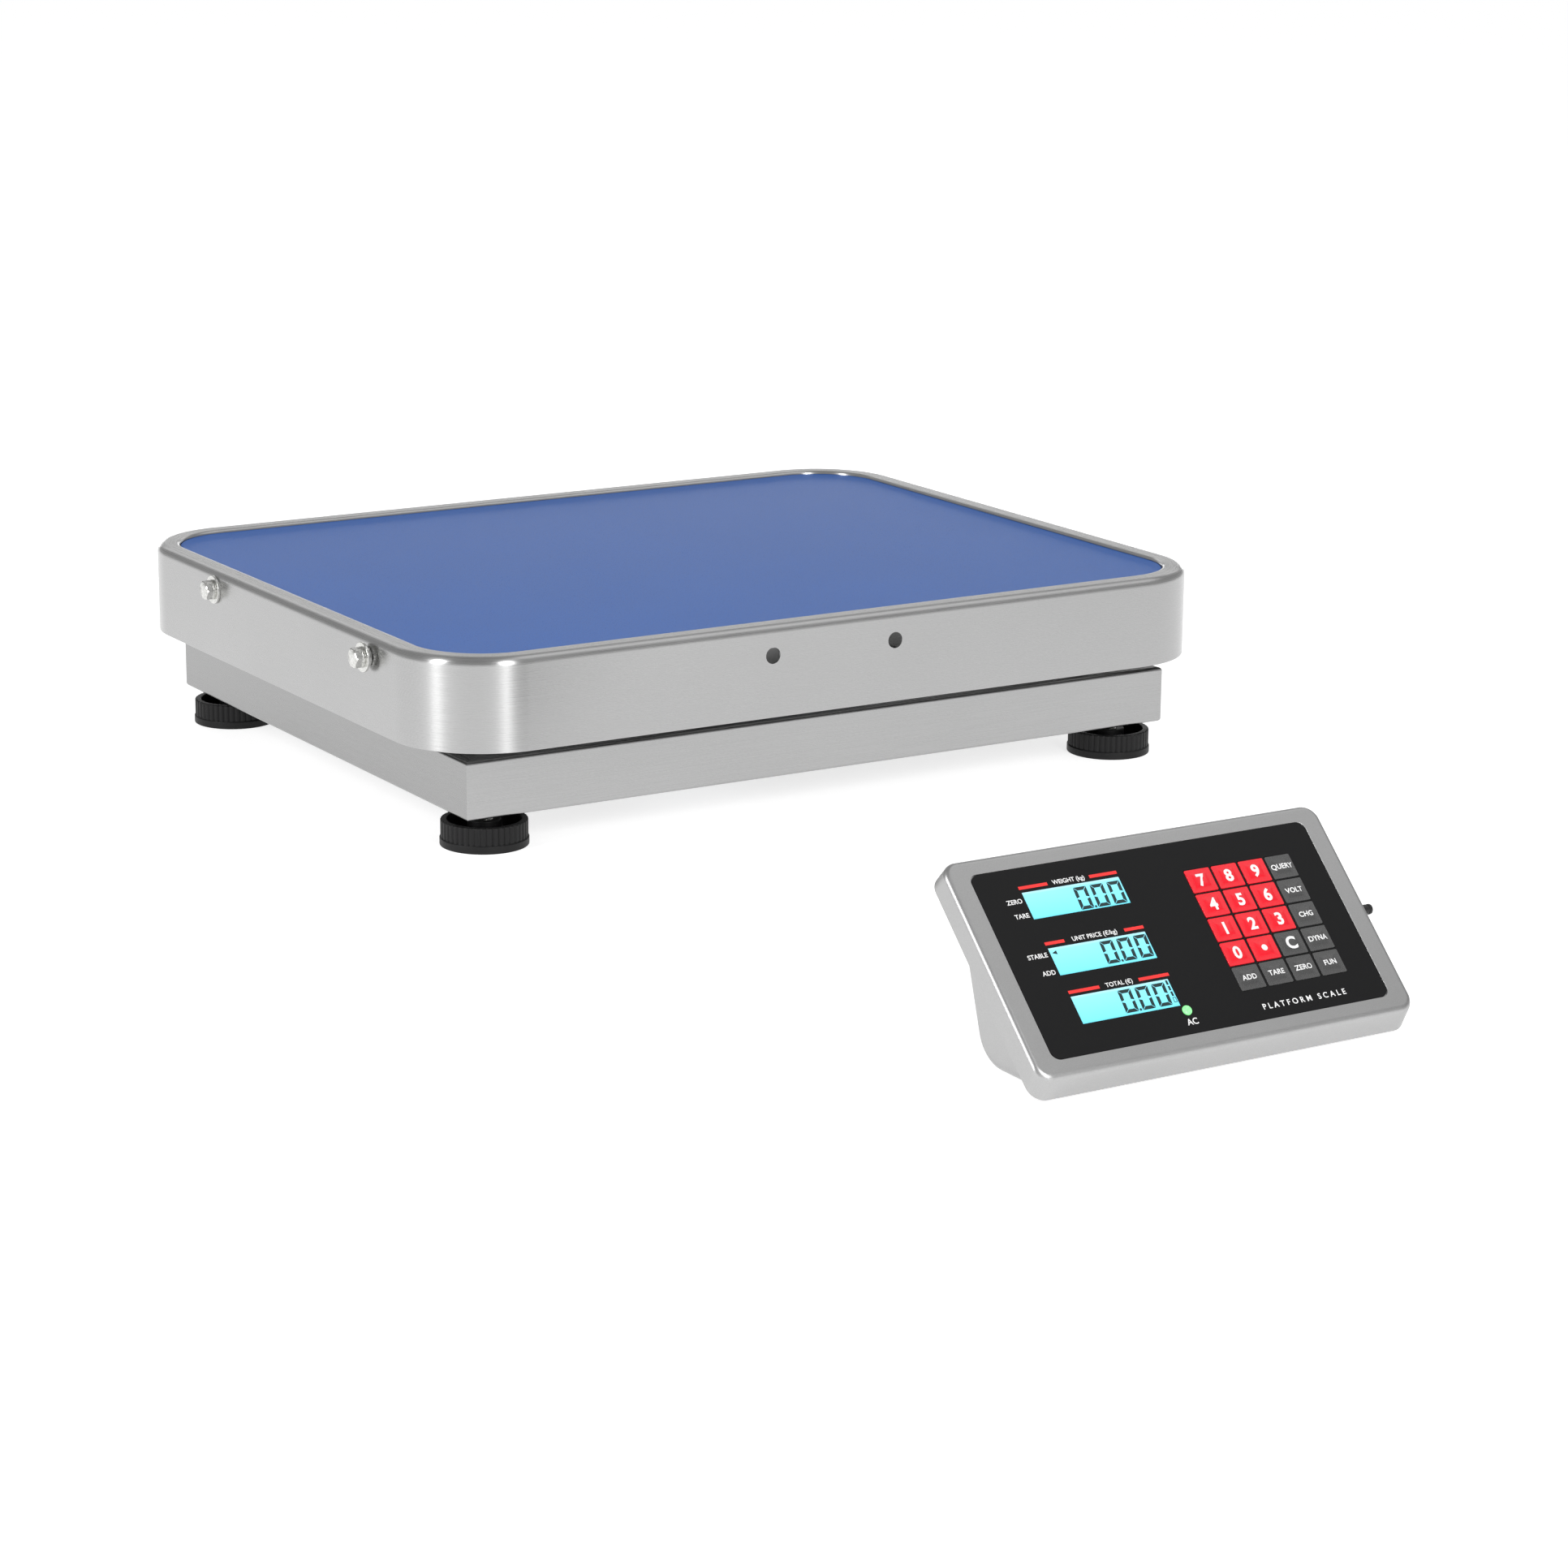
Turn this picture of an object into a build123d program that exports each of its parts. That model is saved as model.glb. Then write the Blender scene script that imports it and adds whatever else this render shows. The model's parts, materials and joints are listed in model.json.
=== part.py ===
"""Pallet scale: a stainless weighing platform on four levelling feet, and its desk indicator.

Millimetres, +Z up. The scale stands on Z = 0 with the origin in the middle of its outline.
X runs along the long side of the platform and the indicator stands in front of it, towards -Y.
Every piece is its own solid and is written to its own file in parts/.
"""
from build123d import *
import os
from math import cos, hypot, radians, sin, tan

# ---------------------------------------------------------------- platform: driving sizes
sheet = 1.2                 # stainless sheet of the pan, the bezel and the housing
pan_length = 500.0          # along X
pan_width = 400.0           # along Y
pan_height = 50.8           # edge of the skirt to the crown of the rim
pan_corner = 52.0
rim_width = 13.0            # steel border round the mat
rim_proud = 1.8             # crown of the rim above the mat
rim_roll = 4.5              # outer radius of the rolled top edge
rim_inner_roll = 2.0
mat_thickness = 1.5
mat_gap = 0.4

bracket_hole = 9.0          # two M8 holes in the front of the skirt
bracket_hole_spacing = 78.0
bracket_hole_x = -11.4      # middle of the pair, from the middle of the platform
bracket_hole_drop = 16.6    # hole centre below the crown of the rim

frame_length = 450.0
frame_width = 360.0
tube_height = 32.0
tube_width = 30.0
tube_wall = 1.5
tube_edge = 2.0

foot_height = 14.0
foot_gap = 5.2              # top of a foot to the underside of the frame
foot_radius = 23.3
foot_lip = 0.5              # the lip stands out this much past the ribs
foot_lip_height = 4.0
foot_floor = 4.0
foot_wall = 3.4
foot_hub = 9.0
foot_ribs = 44
foot_rib_depth = 0.7
foot_inset = 21.3           # foot centre from the two outer edges of the frame
stud_radius = 5.0
stud_end_chamfer = 1.0
stud_head_room = 5.3        # room in the tube above a screw's end, for levelling
insert_radius = 9.0
insert_height = 12.0
screw_fit = 0.1             # radial clearance of the levelling screws
turning_gap = 0.4

beam_width = 60.0           # cross beam under the load cell
beam_height = 20.0
beam_drop = 6.0             # top of the beam below the top of the frame
cell_length = 150.0
cell_width = 38.0
cell_height = 38.0
cell_bore = 11.0            # radius of the two bores that make the flexures
cell_bore_spacing = 44.0
cell_slot = 6.0
cell_bolt_inset = 15.0      # bolt line from the end of the cell
cell_bolt_spacing = 19.0
cell_bolt_depth = 14.0      # depth of the tapped holes
spacer_lower = 4.0
spacer_upper = 3.0
plate_thickness = 8.0       # cross plate of the pan carrier
arm_width = 30.0
arm_height = 11.0
arm_wall = 2.0
arm_spacing = 240.0
arm_end_gap = 7.0           # end of an arm short of the side of the frame
stop_inset = 10.0           # overload stop from the end of its arm
stop_gap = 1.0              # free travel before a stop lands on the frame
pad_radius = 12.5           # rubber pads that the pan rests on
pad_thickness = 3.5
pad_inset = 33.0
rest_gap = 0.1

m8_radius = 4.0
m8_across = 13.0
m8_head = 5.3
m8_nut = 6.5
m6_radius = 3.0
m6_across = 10.0
m6_head = 4.0
m6_nut = 5.0
thread_fit = 0.05
screw_end_gap = 1.0         # end of a screw short of the bottom of its tapped hole
hole_play = 0.5             # clearance hole past the screw, on the radius

side_bolt_middle = -0.049    # middle of the pair on the left of the skirt, in pan widths
side_bolt_spread = 0.49175   # spacing of the pair, in pan widths
side_bolt_drop = 10.8       # bolt centre below the crown of the rim
side_washer_radius = 8.1
side_washer = 1.5
spring_washer_radius = 5.6
spring_washer = 1.4
spring_washer_slit = 1.0
standoff_nut = 2.8          # thin nut that keeps the front bolt off the skirt
side_bolt_inside = 10.0

gland_x = 150.0             # load-cell cable gland in the rear tube
gland_across = 16.0
gland_flange = 4.0
gland_dome_radius = 7.0
gland_dome_round = 2.33
gland_dome = 10.0
gland_bore = 2.8
gland_thread_radius = 6.0
gland_thread = 8.0

# ---------------------------------------------------------------- indicator: driving sizes
indicator_x = -92.8         # middle of the face from the middle of the platform
indicator_y = -619.6
face_width = 209.5
face_height = 111.6
face_tilt = 44.1            # degrees from level
bezel_depth = 12.5
bezel_flare = 4.0           # the front wall leans out this much at its lower edge
bezel_corner = 8.0
bezel_edge = 2.5
bezel_clear = 0.7           # lowest edge of the bezel above the table
overlay_width = 186.9
overlay_height = 94.6
overlay_corner = 4.5
overlay_thickness = 0.6
overlay_sunk = 0.1          # face of the overlay below the bezel
overlay_gap = 0.25

display_width = 53.2
display_height = 14.1
display_x = -44.3
display_ys = (28.1, -1.0, -25.9)
display_border = 0.4        # glass hidden behind the overlay
display_gap = 0.5           # from the glass to the opening behind the overlay
led_x = -16.0
led_y = -35.9
led_radius = 2.4
led_proud = 0.9

key_width = 14.0
key_height = 12.0
key_pitch_x = 15.4
key_pitch_y = 12.95
keypad_x = 47.0
keypad_y = 0.2
key_gap = 0.25
key_proud = 0.2
key_emboss = 0.35
key_emboss_round = 0.315
key_emboss_radius = 5.4
key_corner = 0.6
key_flange = 0.5
key_flange_thickness = 0.6
key_stem = 3.0
key_travel = 0.3
dome_radius = 4.5
dome_height = 0.4
key_names = (
    ("7", "8", "9", "query"),
    ("4", "5", "6", "volt"),
    ("1", "2", "3", "change"),
    ("0", "point", "clear", "dynamic"),
    ("add", "tare", "zero", "function"),
)

board_depth = 5.0           # top of the main board below the face
board_thickness = 1.6
board_width = 176.0
board_height = 88.0
post_radius = 3.0
board_post_inset = 5.0
flange_depth = 11.0         # housing flange below the face
flange_gap = 0.4
flange_screw_side = 4.85    # screw from the side of the bezel
flange_screw_end = 9.0      # and from its ends
flange_screw_radius = 1.5
flange_screw_head_radius = 2.9
flange_screw_head = 1.6
flange_screw_length = 6.0

housing_inset = 8.5         # housing wall inside the bezel's edge
housing_floor = 2.0         # underside of the housing above the table
housing_lean = 17.5         # degrees that the back leans out towards its top
housing_front = 25.4        # front end of the flat bottom, ahead of the face centre
housing_front_edge = 52.0   # front end of the housing's mouth, down the face from its centre
housing_toe = 6.0           # radius at the front end of the bottom
housing_heel = 19.0         # radius between the back and the bottom
housing_round = 5.0
housing_foot_radius = 5.0
housing_foot_side = 16.0
housing_foot_front = 8.0

socket_radius = 6.0
socket_flange_radius = 8.0
socket_flange = 2.0
socket_length = 12.0
socket_bore = 4.2
socket_bore_depth = 10.0
socket_xs = (30.0, 66.0)    # from the middle of the face
socket_z = 44.0

battery_length = 130.0
battery_size = 19.0
battery_round = 3.8
battery_lift = 1.8
battery_behind_heel = 6.0

button_radius = 2.5
button_proud = 7.5
button_depth = 6.5          # button axis below the face
button_travel = 2.0
button_round = 1.0
button_fit = 0.3
switch_length = 9.0
switch_width = 10.0
switch_height = 8.0
switch_wall_gap = 0.05

# ---------------------------------------------------------------- heights and places that follow
frame_bottom = foot_height + foot_gap
frame_top = frame_bottom + tube_height
beam_top = frame_top - beam_drop
cell_bottom = beam_top + spacer_lower
cell_top = cell_bottom + cell_height
arm_bottom = cell_top + spacer_upper
arm_top = arm_bottom + arm_height
deck_underside = arm_top + pad_thickness + rest_gap
deck_top = deck_underside + sheet
rim_top = deck_top + mat_thickness + rim_proud
skirt_bottom = rim_top - pan_height
recess_length = pan_length - 2 * rim_width
recess_width = pan_width - 2 * rim_width
recess_corner = pan_corner - rim_width
cell_bolt_x = cell_length / 2 - cell_bolt_inset
arm_length = frame_length - 2 * arm_end_gap
side_bolt_y = side_bolt_middle * pan_width
side_bolt_spacing = side_bolt_spread * pan_width
side_bolt_z = rim_top - side_bolt_drop
stud_length = frame_top - tube_wall - stud_head_room - foot_floor - turning_gap
side_reach = standoff_nut + side_washer + spring_washer + m6_head

tilt_sin, tilt_cos = sin(radians(face_tilt)), cos(radians(face_tilt))
face_z = bezel_clear + bezel_depth * tilt_cos + (bezel_flare + face_height / 2) * tilt_sin
# The rounded upper front edge of the bezel is the frontmost point of the whole scale.
flare_slant = hypot(bezel_depth, bezel_flare)
edge_run = bezel_edge * (flare_slant - bezel_flare) / bezel_depth
edge_y = (edge_run - face_height / 2) * tilt_cos + bezel_edge * tilt_sin - bezel_edge

# The origin is in the middle of the outline of the whole scale, on the floor.
platform_x = side_reach / 2
platform_y = -(pan_width / 2 + indicator_y + edge_y) / 2
face_origin = (platform_x + indicator_x, platform_y + indicator_y, face_z)
face = Plane(origin=face_origin, x_dir=(1, 0, 0), z_dir=(0, -tilt_sin, tilt_cos))
face_side = Plane(origin=face_origin, x_dir=(0, tilt_cos, tilt_sin), z_dir=(1, 0, 0))


def level(x, y, z):
    """A level plane at a point given from the middle of the platform."""
    return Plane(origin=(platform_x + x, platform_y + y, z))


def facing(x, y, z, direction, x_dir):
    """A plane that looks along direction, at a point given from the middle of the platform."""
    return Plane(origin=(platform_x + x, platform_y + y, z), x_dir=x_dir, z_dir=direction)


def write(builder, name):
    """Label a finished piece and write it to its own file."""
    builder.part.label = name
    export_step(builder.part, f"parts/{name}.step")


os.makedirs("parts", exist_ok=True)

# ---------------------------------------------------------------- pan and mat
def rolled_block(length, width, corner, height, roll):
    """A block on the skirt's level with rounded corners and a rolled top edge."""
    with BuildPart() as block:
        with BuildSketch(level(0, 0, skirt_bottom)):
            RectangleRounded(length, width, corner)
        extrude(amount=height)
        fillet(block.faces().sort_by(Axis.Z)[-1].edges(), roll)
    return block.part


pan_outside = rolled_block(pan_length, pan_width, pan_corner, pan_height, rim_roll)
pan_inside = rolled_block(pan_length - 2 * sheet, pan_width - 2 * sheet, pan_corner - sheet,
                          pan_height - sheet, rim_roll - sheet)
with BuildPart() as pan:
    add(pan_outside)
    add(pan_inside, mode=Mode.SUBTRACT)
    # the deck is pressed down inside the rim, for the mat
    with BuildSketch(level(0, 0, deck_underside)):
        RectangleRounded(recess_length + 2 * sheet, recess_width + 2 * sheet, recess_corner + sheet)
    extrude(amount=rim_top - deck_underside)
    with BuildSketch(level(0, 0, deck_top)):
        RectangleRounded(recess_length, recess_width, recess_corner)
    extrude(amount=rim_top - deck_top, mode=Mode.SUBTRACT)
    crown = pan.faces().filter_by(Axis.Z).sort_by(Axis.Z)[-1]
    fillet(crown.inner_wires()[0].edges(), rim_inner_roll)
    bracket_hole_z = rim_top - bracket_hole_drop
    with BuildSketch(facing(bracket_hole_x, -pan_width / 2, bracket_hole_z, (0, -1, 0), (1, 0, 0))):
        with GridLocations(bracket_hole_spacing, 1, 2, 1):
            Circle(bracket_hole / 2)
    extrude(amount=-2 * sheet, mode=Mode.SUBTRACT)
    with BuildSketch(facing(-pan_length / 2, side_bolt_y, side_bolt_z, (-1, 0, 0), (0, -1, 0))):
        with GridLocations(side_bolt_spacing, 1, 2, 1):
            Circle(m6_radius + hole_play)
    extrude(amount=-2 * sheet, mode=Mode.SUBTRACT)
write(pan, "pan")

with BuildPart() as mat:
    with BuildSketch(level(0, 0, deck_top)):
        RectangleRounded(recess_length - 2 * mat_gap, recess_width - 2 * mat_gap, recess_corner - mat_gap)
    extrude(amount=mat_thickness)
write(mat, "mat")

# ---------------------------------------------------------------- fasteners on the left of the skirt
# Local Z points out of the skirt. The rear bolt is tight and the front one stands off on a thin nut.
wall_outside = facing(-pan_length / 2, 0, side_bolt_z, (-1, 0, 0), (0, -1, 0))
rear_bolt = (-(side_bolt_y + side_bolt_spacing / 2), 0)
front_bolt = (-(side_bolt_y - side_bolt_spacing / 2), 0)
side_stacks = ((rear_bolt, 0.0), (front_bolt, standoff_nut))

with BuildPart() as side_bolts:
    for place, standoff in side_stacks:
        under_head = standoff + side_washer + spring_washer
        with BuildSketch(wall_outside.offset(under_head)):
            with Locations(place):
                RegularPolygon(m6_across / 2, 6, major_radius=False)
        extrude(amount=m6_head)
        with BuildSketch(wall_outside.offset(under_head)):
            with Locations(place):
                Circle(m6_radius)
        extrude(amount=-under_head - sheet - side_bolt_inside)
write(side_bolts, "side_bolts")

with BuildPart() as side_washers:
    for place, standoff in side_stacks:
        with BuildSketch(wall_outside.offset(standoff)):
            with Locations(place):
                Circle(side_washer_radius)
                Circle(m6_radius + thread_fit, mode=Mode.SUBTRACT)
        extrude(amount=side_washer)
        with BuildSketch(wall_outside.offset(standoff + side_washer)):
            with Locations(place):
                Circle(spring_washer_radius)
                Circle(m6_radius + thread_fit, mode=Mode.SUBTRACT)
            with Locations((place[0], -spring_washer_radius / 2)):
                Rectangle(spring_washer_slit, spring_washer_radius, mode=Mode.SUBTRACT)
        extrude(amount=spring_washer)
write(side_washers, "side_washers")

with BuildPart() as side_nuts:
    for place, height, depth in ((rear_bolt, m6_nut, -sheet - m6_nut),
                                 (front_bolt, m6_nut, -sheet - m6_nut),
                                 (front_bolt, standoff_nut, 0.0)):
        with BuildSketch(wall_outside.offset(depth)):
            with Locations(place):
                RegularPolygon(m6_across / 2, 6, major_radius=False)
                Circle(m6_radius + thread_fit, mode=Mode.SUBTRACT)
        extrude(amount=height)
write(side_nuts, "side_nuts")

# ---------------------------------------------------------------- base frame
foot_places = [(side * (frame_length / 2 - foot_inset), end * (frame_width / 2 - foot_inset))
               for side, end in ((-1, -1), (1, -1), (1, 1), (-1, 1))]


def frame_tube(length, plane, gland_hole):
    """A box tube mitred at both ends. Local X runs along it and local -Y is the outer side."""
    def mitred(inset):
        half = length / 2 - inset
        run = tube_width - 2 * inset
        Polyline((-half, inset), (half, inset), (half - run, inset + run), (-half + run, inset + run),
                 close=True)

    with BuildPart() as tube:
        with BuildSketch(plane):
            with BuildLine():
                mitred(0)
            make_face()
        extrude(amount=tube_height)
        fillet(tube.edges().filter_by(Axis(plane.origin, plane.x_dir)), tube_edge)
        with BuildSketch(plane.offset(tube_wall)):
            with BuildLine():
                mitred(tube_wall)
            make_face()
        extrude(amount=tube_height - 2 * tube_wall, mode=Mode.SUBTRACT)
        with BuildSketch(level(0, 0, frame_bottom)):
            with Locations(*foot_places):
                Circle(insert_radius)
        extrude(amount=tube_wall, mode=Mode.SUBTRACT)
        if gland_hole:
            with BuildSketch(gland_plane):
                Circle(gland_thread_radius)
            extrude(amount=-2 * tube_wall, mode=Mode.SUBTRACT)
    return tube


half_length, half_width = frame_length / 2, frame_width / 2
gland_plane = facing(gland_x, half_width, frame_bottom + tube_height / 2, (0, 1, 0), (-1, 0, 0))
tube_planes = {
    "frame_front_tube": (frame_length, (0, -half_width), (1, 0, 0)),
    "frame_right_tube": (frame_width, (half_length, 0), (0, 1, 0)),
    "frame_rear_tube": (frame_length, (0, half_width), (-1, 0, 0)),
    "frame_left_tube": (frame_width, (-half_length, 0), (0, -1, 0)),
}
for name, (length, (x, y), along) in tube_planes.items():
    tube_plane = facing(x, y, frame_bottom, (0, 0, 1), along)
    write(frame_tube(length, tube_plane, gland_hole=name == "frame_rear_tube"), name)

with BuildPart() as frame_cross_beam:
    beam_length = frame_width - 2 * tube_width
    with BuildSketch(level(-cell_bolt_x, 0, beam_top - beam_height)):
        Rectangle(beam_width, beam_length)
    extrude(amount=beam_height)
    with BuildSketch(level(-cell_bolt_x, 0, beam_top - beam_height + arm_wall)):
        Rectangle(beam_width - 2 * arm_wall, beam_length)
    extrude(amount=beam_height - 2 * arm_wall, mode=Mode.SUBTRACT)
    with BuildSketch(level(-cell_bolt_x, 0, beam_top - beam_height)):
        with GridLocations(1, cell_bolt_spacing, 1, 2):
            Circle(m8_radius + hole_play)
    extrude(amount=beam_height, mode=Mode.SUBTRACT)
write(frame_cross_beam, "frame_cross_beam")

with BuildPart() as foot_inserts:
    with BuildSketch(level(0, 0, frame_bottom)):
        with Locations(*foot_places):
            Circle(insert_radius)
            Circle(stud_radius + screw_fit, mode=Mode.SUBTRACT)
    extrude(amount=insert_height)
write(foot_inserts, "foot_inserts")

with BuildPart() as cable_gland:
    with BuildSketch(gland_plane):
        RegularPolygon(gland_across / 2, 6, major_radius=False)
    extrude(amount=gland_flange)
    with BuildSketch(gland_plane.offset(gland_flange)):
        Circle(gland_dome_radius)
    extrude(amount=gland_dome)
    fillet(cable_gland.faces().sort_by(Axis.Y)[-1].edges(), gland_dome_round)
    with BuildSketch(gland_plane):
        Circle(gland_thread_radius)
    extrude(amount=-gland_thread)
    with BuildSketch(gland_plane.offset(-gland_thread)):
        Circle(gland_bore)
    extrude(amount=gland_thread + gland_flange + gland_dome, mode=Mode.SUBTRACT)
write(cable_gland, "cable_gland")

# ---------------------------------------------------------------- levelling feet
for number, (x, y) in enumerate(foot_places, start=1):
    with BuildPart() as foot_stud:
        with BuildSketch(level(x, y, foot_floor + turning_gap)):
            Circle(stud_radius)
        extrude(amount=stud_length)
        chamfer(foot_stud.edges().filter_by(GeomType.CIRCLE), stud_end_chamfer)
    write(foot_stud, f"foot_stud_{number}")

    with BuildPart() as foot_pad:
        with BuildSketch(level(x, y, 0)):
            Circle(foot_radius + foot_lip)
        extrude(amount=foot_lip_height)
        fillet(foot_pad.faces().sort_by(Axis.Z)[0].edges(), foot_lip)
        with BuildSketch(level(x, y, foot_lip_height)):
            Circle(foot_radius)
            with PolarLocations(foot_radius + foot_rib_depth / 2, foot_ribs):
                Circle(foot_rib_depth, mode=Mode.SUBTRACT)
        extrude(amount=foot_height - foot_lip_height)
        with BuildSketch(level(x, y, foot_floor)):
            Circle(foot_radius - foot_wall)
            Circle(foot_hub, mode=Mode.SUBTRACT)
        extrude(amount=foot_height - foot_floor, mode=Mode.SUBTRACT)
        with BuildSketch(level(x, y, foot_floor)):
            Circle(stud_radius + screw_fit)
        extrude(amount=foot_height - foot_floor, mode=Mode.SUBTRACT)
    write(foot_pad, f"foot_pad_{number}")

# ---------------------------------------------------------------- load cell and pan carrier
with BuildPart() as load_cell:
    with BuildSketch(level(0, 0, cell_bottom)):
        Rectangle(cell_length, cell_width)
    extrude(amount=cell_height)
    with BuildSketch(facing(0, 0, (cell_bottom + cell_top) / 2, (0, -1, 0), (1, 0, 0))):
        with GridLocations(cell_bore_spacing, 1, 2, 1):
            Circle(cell_bore)
        Rectangle(cell_bore_spacing, cell_slot)
    extrude(amount=cell_width, both=True, mode=Mode.SUBTRACT)
    for side, height, depth in ((-1, cell_bottom, cell_bolt_depth), (1, cell_top, -cell_bolt_depth)):
        with BuildSketch(level(side * cell_bolt_x, 0, height)):
            with GridLocations(1, cell_bolt_spacing, 1, 2):
                Circle(m8_radius + thread_fit)
        extrude(amount=depth, mode=Mode.SUBTRACT)
write(load_cell, "load_cell")

with BuildPart() as load_cell_spacers:
    for side, height, thickness in ((-1, beam_top, spacer_lower), (1, cell_top, spacer_upper)):
        with BuildSketch(level(side * cell_bolt_x, 0, height)):
            Rectangle(2 * cell_bolt_inset, cell_width)
            with GridLocations(1, cell_bolt_spacing, 1, 2):
                Circle(m8_radius + hole_play, mode=Mode.SUBTRACT)
        extrude(amount=thickness)
write(load_cell_spacers, "load_cell_spacers")

with BuildPart() as load_cell_bolts:
    lower_head = beam_top - beam_height
    upper_head = arm_bottom + plate_thickness
    for side, height, shank, head in (
            (-1, lower_head, cell_bottom + cell_bolt_depth - screw_end_gap - lower_head, -m8_head),
            (1, upper_head, cell_top - cell_bolt_depth + screw_end_gap - upper_head, m8_head)):
        with BuildSketch(level(side * cell_bolt_x, 0, height)):
            with GridLocations(1, cell_bolt_spacing, 1, 2):
                Circle(m8_radius)
        extrude(amount=shank)
        with BuildSketch(level(side * cell_bolt_x, 0, height)):
            with GridLocations(1, cell_bolt_spacing, 1, 2):
                RegularPolygon(m8_across / 2, 6, major_radius=False)
        extrude(amount=head)
write(load_cell_bolts, "load_cell_bolts")

stop_places = GridLocations(arm_length - 2 * stop_inset, arm_spacing, 2, 2)
with BuildPart() as carrier_arms:
    with BuildSketch(level(0, 0, arm_bottom)):
        with GridLocations(1, arm_spacing, 1, 2):
            Rectangle(arm_length, arm_width)
    extrude(amount=arm_height)
    with BuildSketch(level(0, 0, arm_bottom + arm_wall)):
        with GridLocations(1, arm_spacing, 1, 2):
            Rectangle(arm_length, arm_width - 2 * arm_wall)
    extrude(amount=arm_height - 2 * arm_wall, mode=Mode.SUBTRACT)
    with BuildSketch(level(0, 0, arm_bottom)):
        with stop_places:
            Circle(m8_radius + thread_fit)
    extrude(amount=arm_height, mode=Mode.SUBTRACT)
write(carrier_arms, "carrier_arms")

with BuildPart() as carrier_cross_plate:
    with BuildSketch(level(cell_bolt_x, 0, arm_bottom)):
        Rectangle(beam_width, arm_spacing - arm_width)
        with GridLocations(1, cell_bolt_spacing, 1, 2):
            Circle(m8_radius + hole_play, mode=Mode.SUBTRACT)
    extrude(amount=plate_thickness)
write(carrier_cross_plate, "carrier_cross_plate")

with BuildPart() as overload_stops:
    stop_bottom = frame_top + stop_gap
    with BuildSketch(level(0, 0, stop_bottom)):
        with stop_places:
            RegularPolygon(m8_across / 2, 6, major_radius=False)
    extrude(amount=m8_head)
    with BuildSketch(level(0, 0, stop_bottom + m8_head)):
        with stop_places:
            Circle(m8_radius)
    extrude(amount=arm_top - stop_bottom - m8_head)
    # the lock nuts under the arms
    with BuildSketch(level(0, 0, arm_bottom - m8_nut)):
        with stop_places:
            RegularPolygon(m8_across / 2, 6, major_radius=False)
            Circle(m8_radius + thread_fit, mode=Mode.SUBTRACT)
    extrude(amount=m8_nut)
write(overload_stops, "overload_stops")

with BuildPart() as pan_rest_pads:
    with BuildSketch(level(0, 0, arm_top)):
        with GridLocations(arm_length - 2 * pad_inset, arm_spacing, 2, 2):
            Circle(pad_radius)
    extrude(amount=pad_thickness)
write(pan_rest_pads, "pan_rest_pads")

# ---------------------------------------------------------------- indicator: bezel and overlay
plate = overlay_sunk + overlay_thickness + sheet     # depth of the sheet under the overlay
overlay_back = overlay_sunk + overlay_thickness
display_places = [(display_x, y) for y in display_ys]
key_places = {
    f"key_{name}": (keypad_x + (column - 1.5) * key_pitch_x, keypad_y + (2 - row) * key_pitch_y)
    for row, names in enumerate(key_names)
    for column, name in enumerate(names)
}
board_posts = GridLocations(board_width - 2 * board_post_inset, board_height - 2 * board_post_inset, 2, 2)
flange_posts = GridLocations(face_width - 2 * flange_screw_side, face_height - 2 * flange_screw_end, 2, 2)


def bezel_block(inset, depth, corner, edge):
    """The tilted tray shape of the bezel, set in by inset on its walls and its face."""
    half = face_height / 2 - inset
    foot = half + bezel_flare * (depth - inset) / bezel_depth
    with BuildPart() as block:
        with BuildSketch(face_side):
            with BuildLine():
                Polyline((-half, -inset), (half, -inset), (half, -depth), (-foot, -depth), close=True)
            make_face()
        extrude(amount=face_width / 2 - inset, both=True)
        ends = block.edges().filter_by(Axis.X, reverse=True)
        fillet(ends.filter_by(Axis(face.origin, face.y_dir), reverse=True), corner)
        if edge:
            fillet(block.faces().sort_by(Axis(face.origin, face.z_dir))[-1].edges(), edge)
    return block.part


bezel_outside = bezel_block(0, bezel_depth, bezel_corner, bezel_edge)
bezel_inside = bezel_block(sheet, bezel_depth + bezel_edge, bezel_corner - sheet, bezel_edge - sheet)
with BuildPart() as bezel:
    add(bezel_outside)
    add(bezel_inside, mode=Mode.SUBTRACT)
    # the seat of the overlay, pressed in behind the face
    with BuildSketch(face.offset(-plate)):
        RectangleRounded(overlay_width + 2 * sheet, overlay_height + 2 * sheet, overlay_corner + sheet)
    extrude(amount=plate - sheet / 2)
    with BuildSketch(face.offset(-overlay_back)):
        RectangleRounded(overlay_width + 2 * overlay_gap, overlay_height + 2 * overlay_gap, overlay_corner)
    extrude(amount=overlay_back, mode=Mode.SUBTRACT)
    # posts for the main board and for the housing screws
    with BuildSketch(face.offset(-board_depth)):
        with board_posts:
            Circle(post_radius)
    extrude(amount=board_depth - overlay_back)
    with BuildSketch(face.offset(-flange_depth)):
        with flange_posts:
            Circle(post_radius)
    extrude(amount=flange_depth - overlay_back)
    with BuildSketch(face.offset(-flange_depth)):
        with flange_posts:
            Circle(flange_screw_radius + thread_fit)
    extrude(amount=flange_screw_length, mode=Mode.SUBTRACT)
    # openings behind the displays, the keys and the lamp
    display_margin = 2 * (display_border + display_gap)
    with BuildSketch(face):
        with Locations(*display_places):
            Rectangle(display_width + display_margin, display_height + display_margin)
        with Locations((keypad_x, keypad_y)):
            Rectangle(4 * key_pitch_x + key_flange, 5 * key_pitch_y + key_flange)
        with Locations((led_x, led_y)):
            Circle(led_radius + overlay_gap)
    extrude(amount=-plate, mode=Mode.SUBTRACT)
    # hole for the power button in the right wall
    with BuildSketch(face_side.offset(face_width / 2)):
        with Locations((0, -button_depth)):
            Circle(button_radius + button_fit)
    extrude(amount=-2 * sheet, mode=Mode.SUBTRACT)
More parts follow.
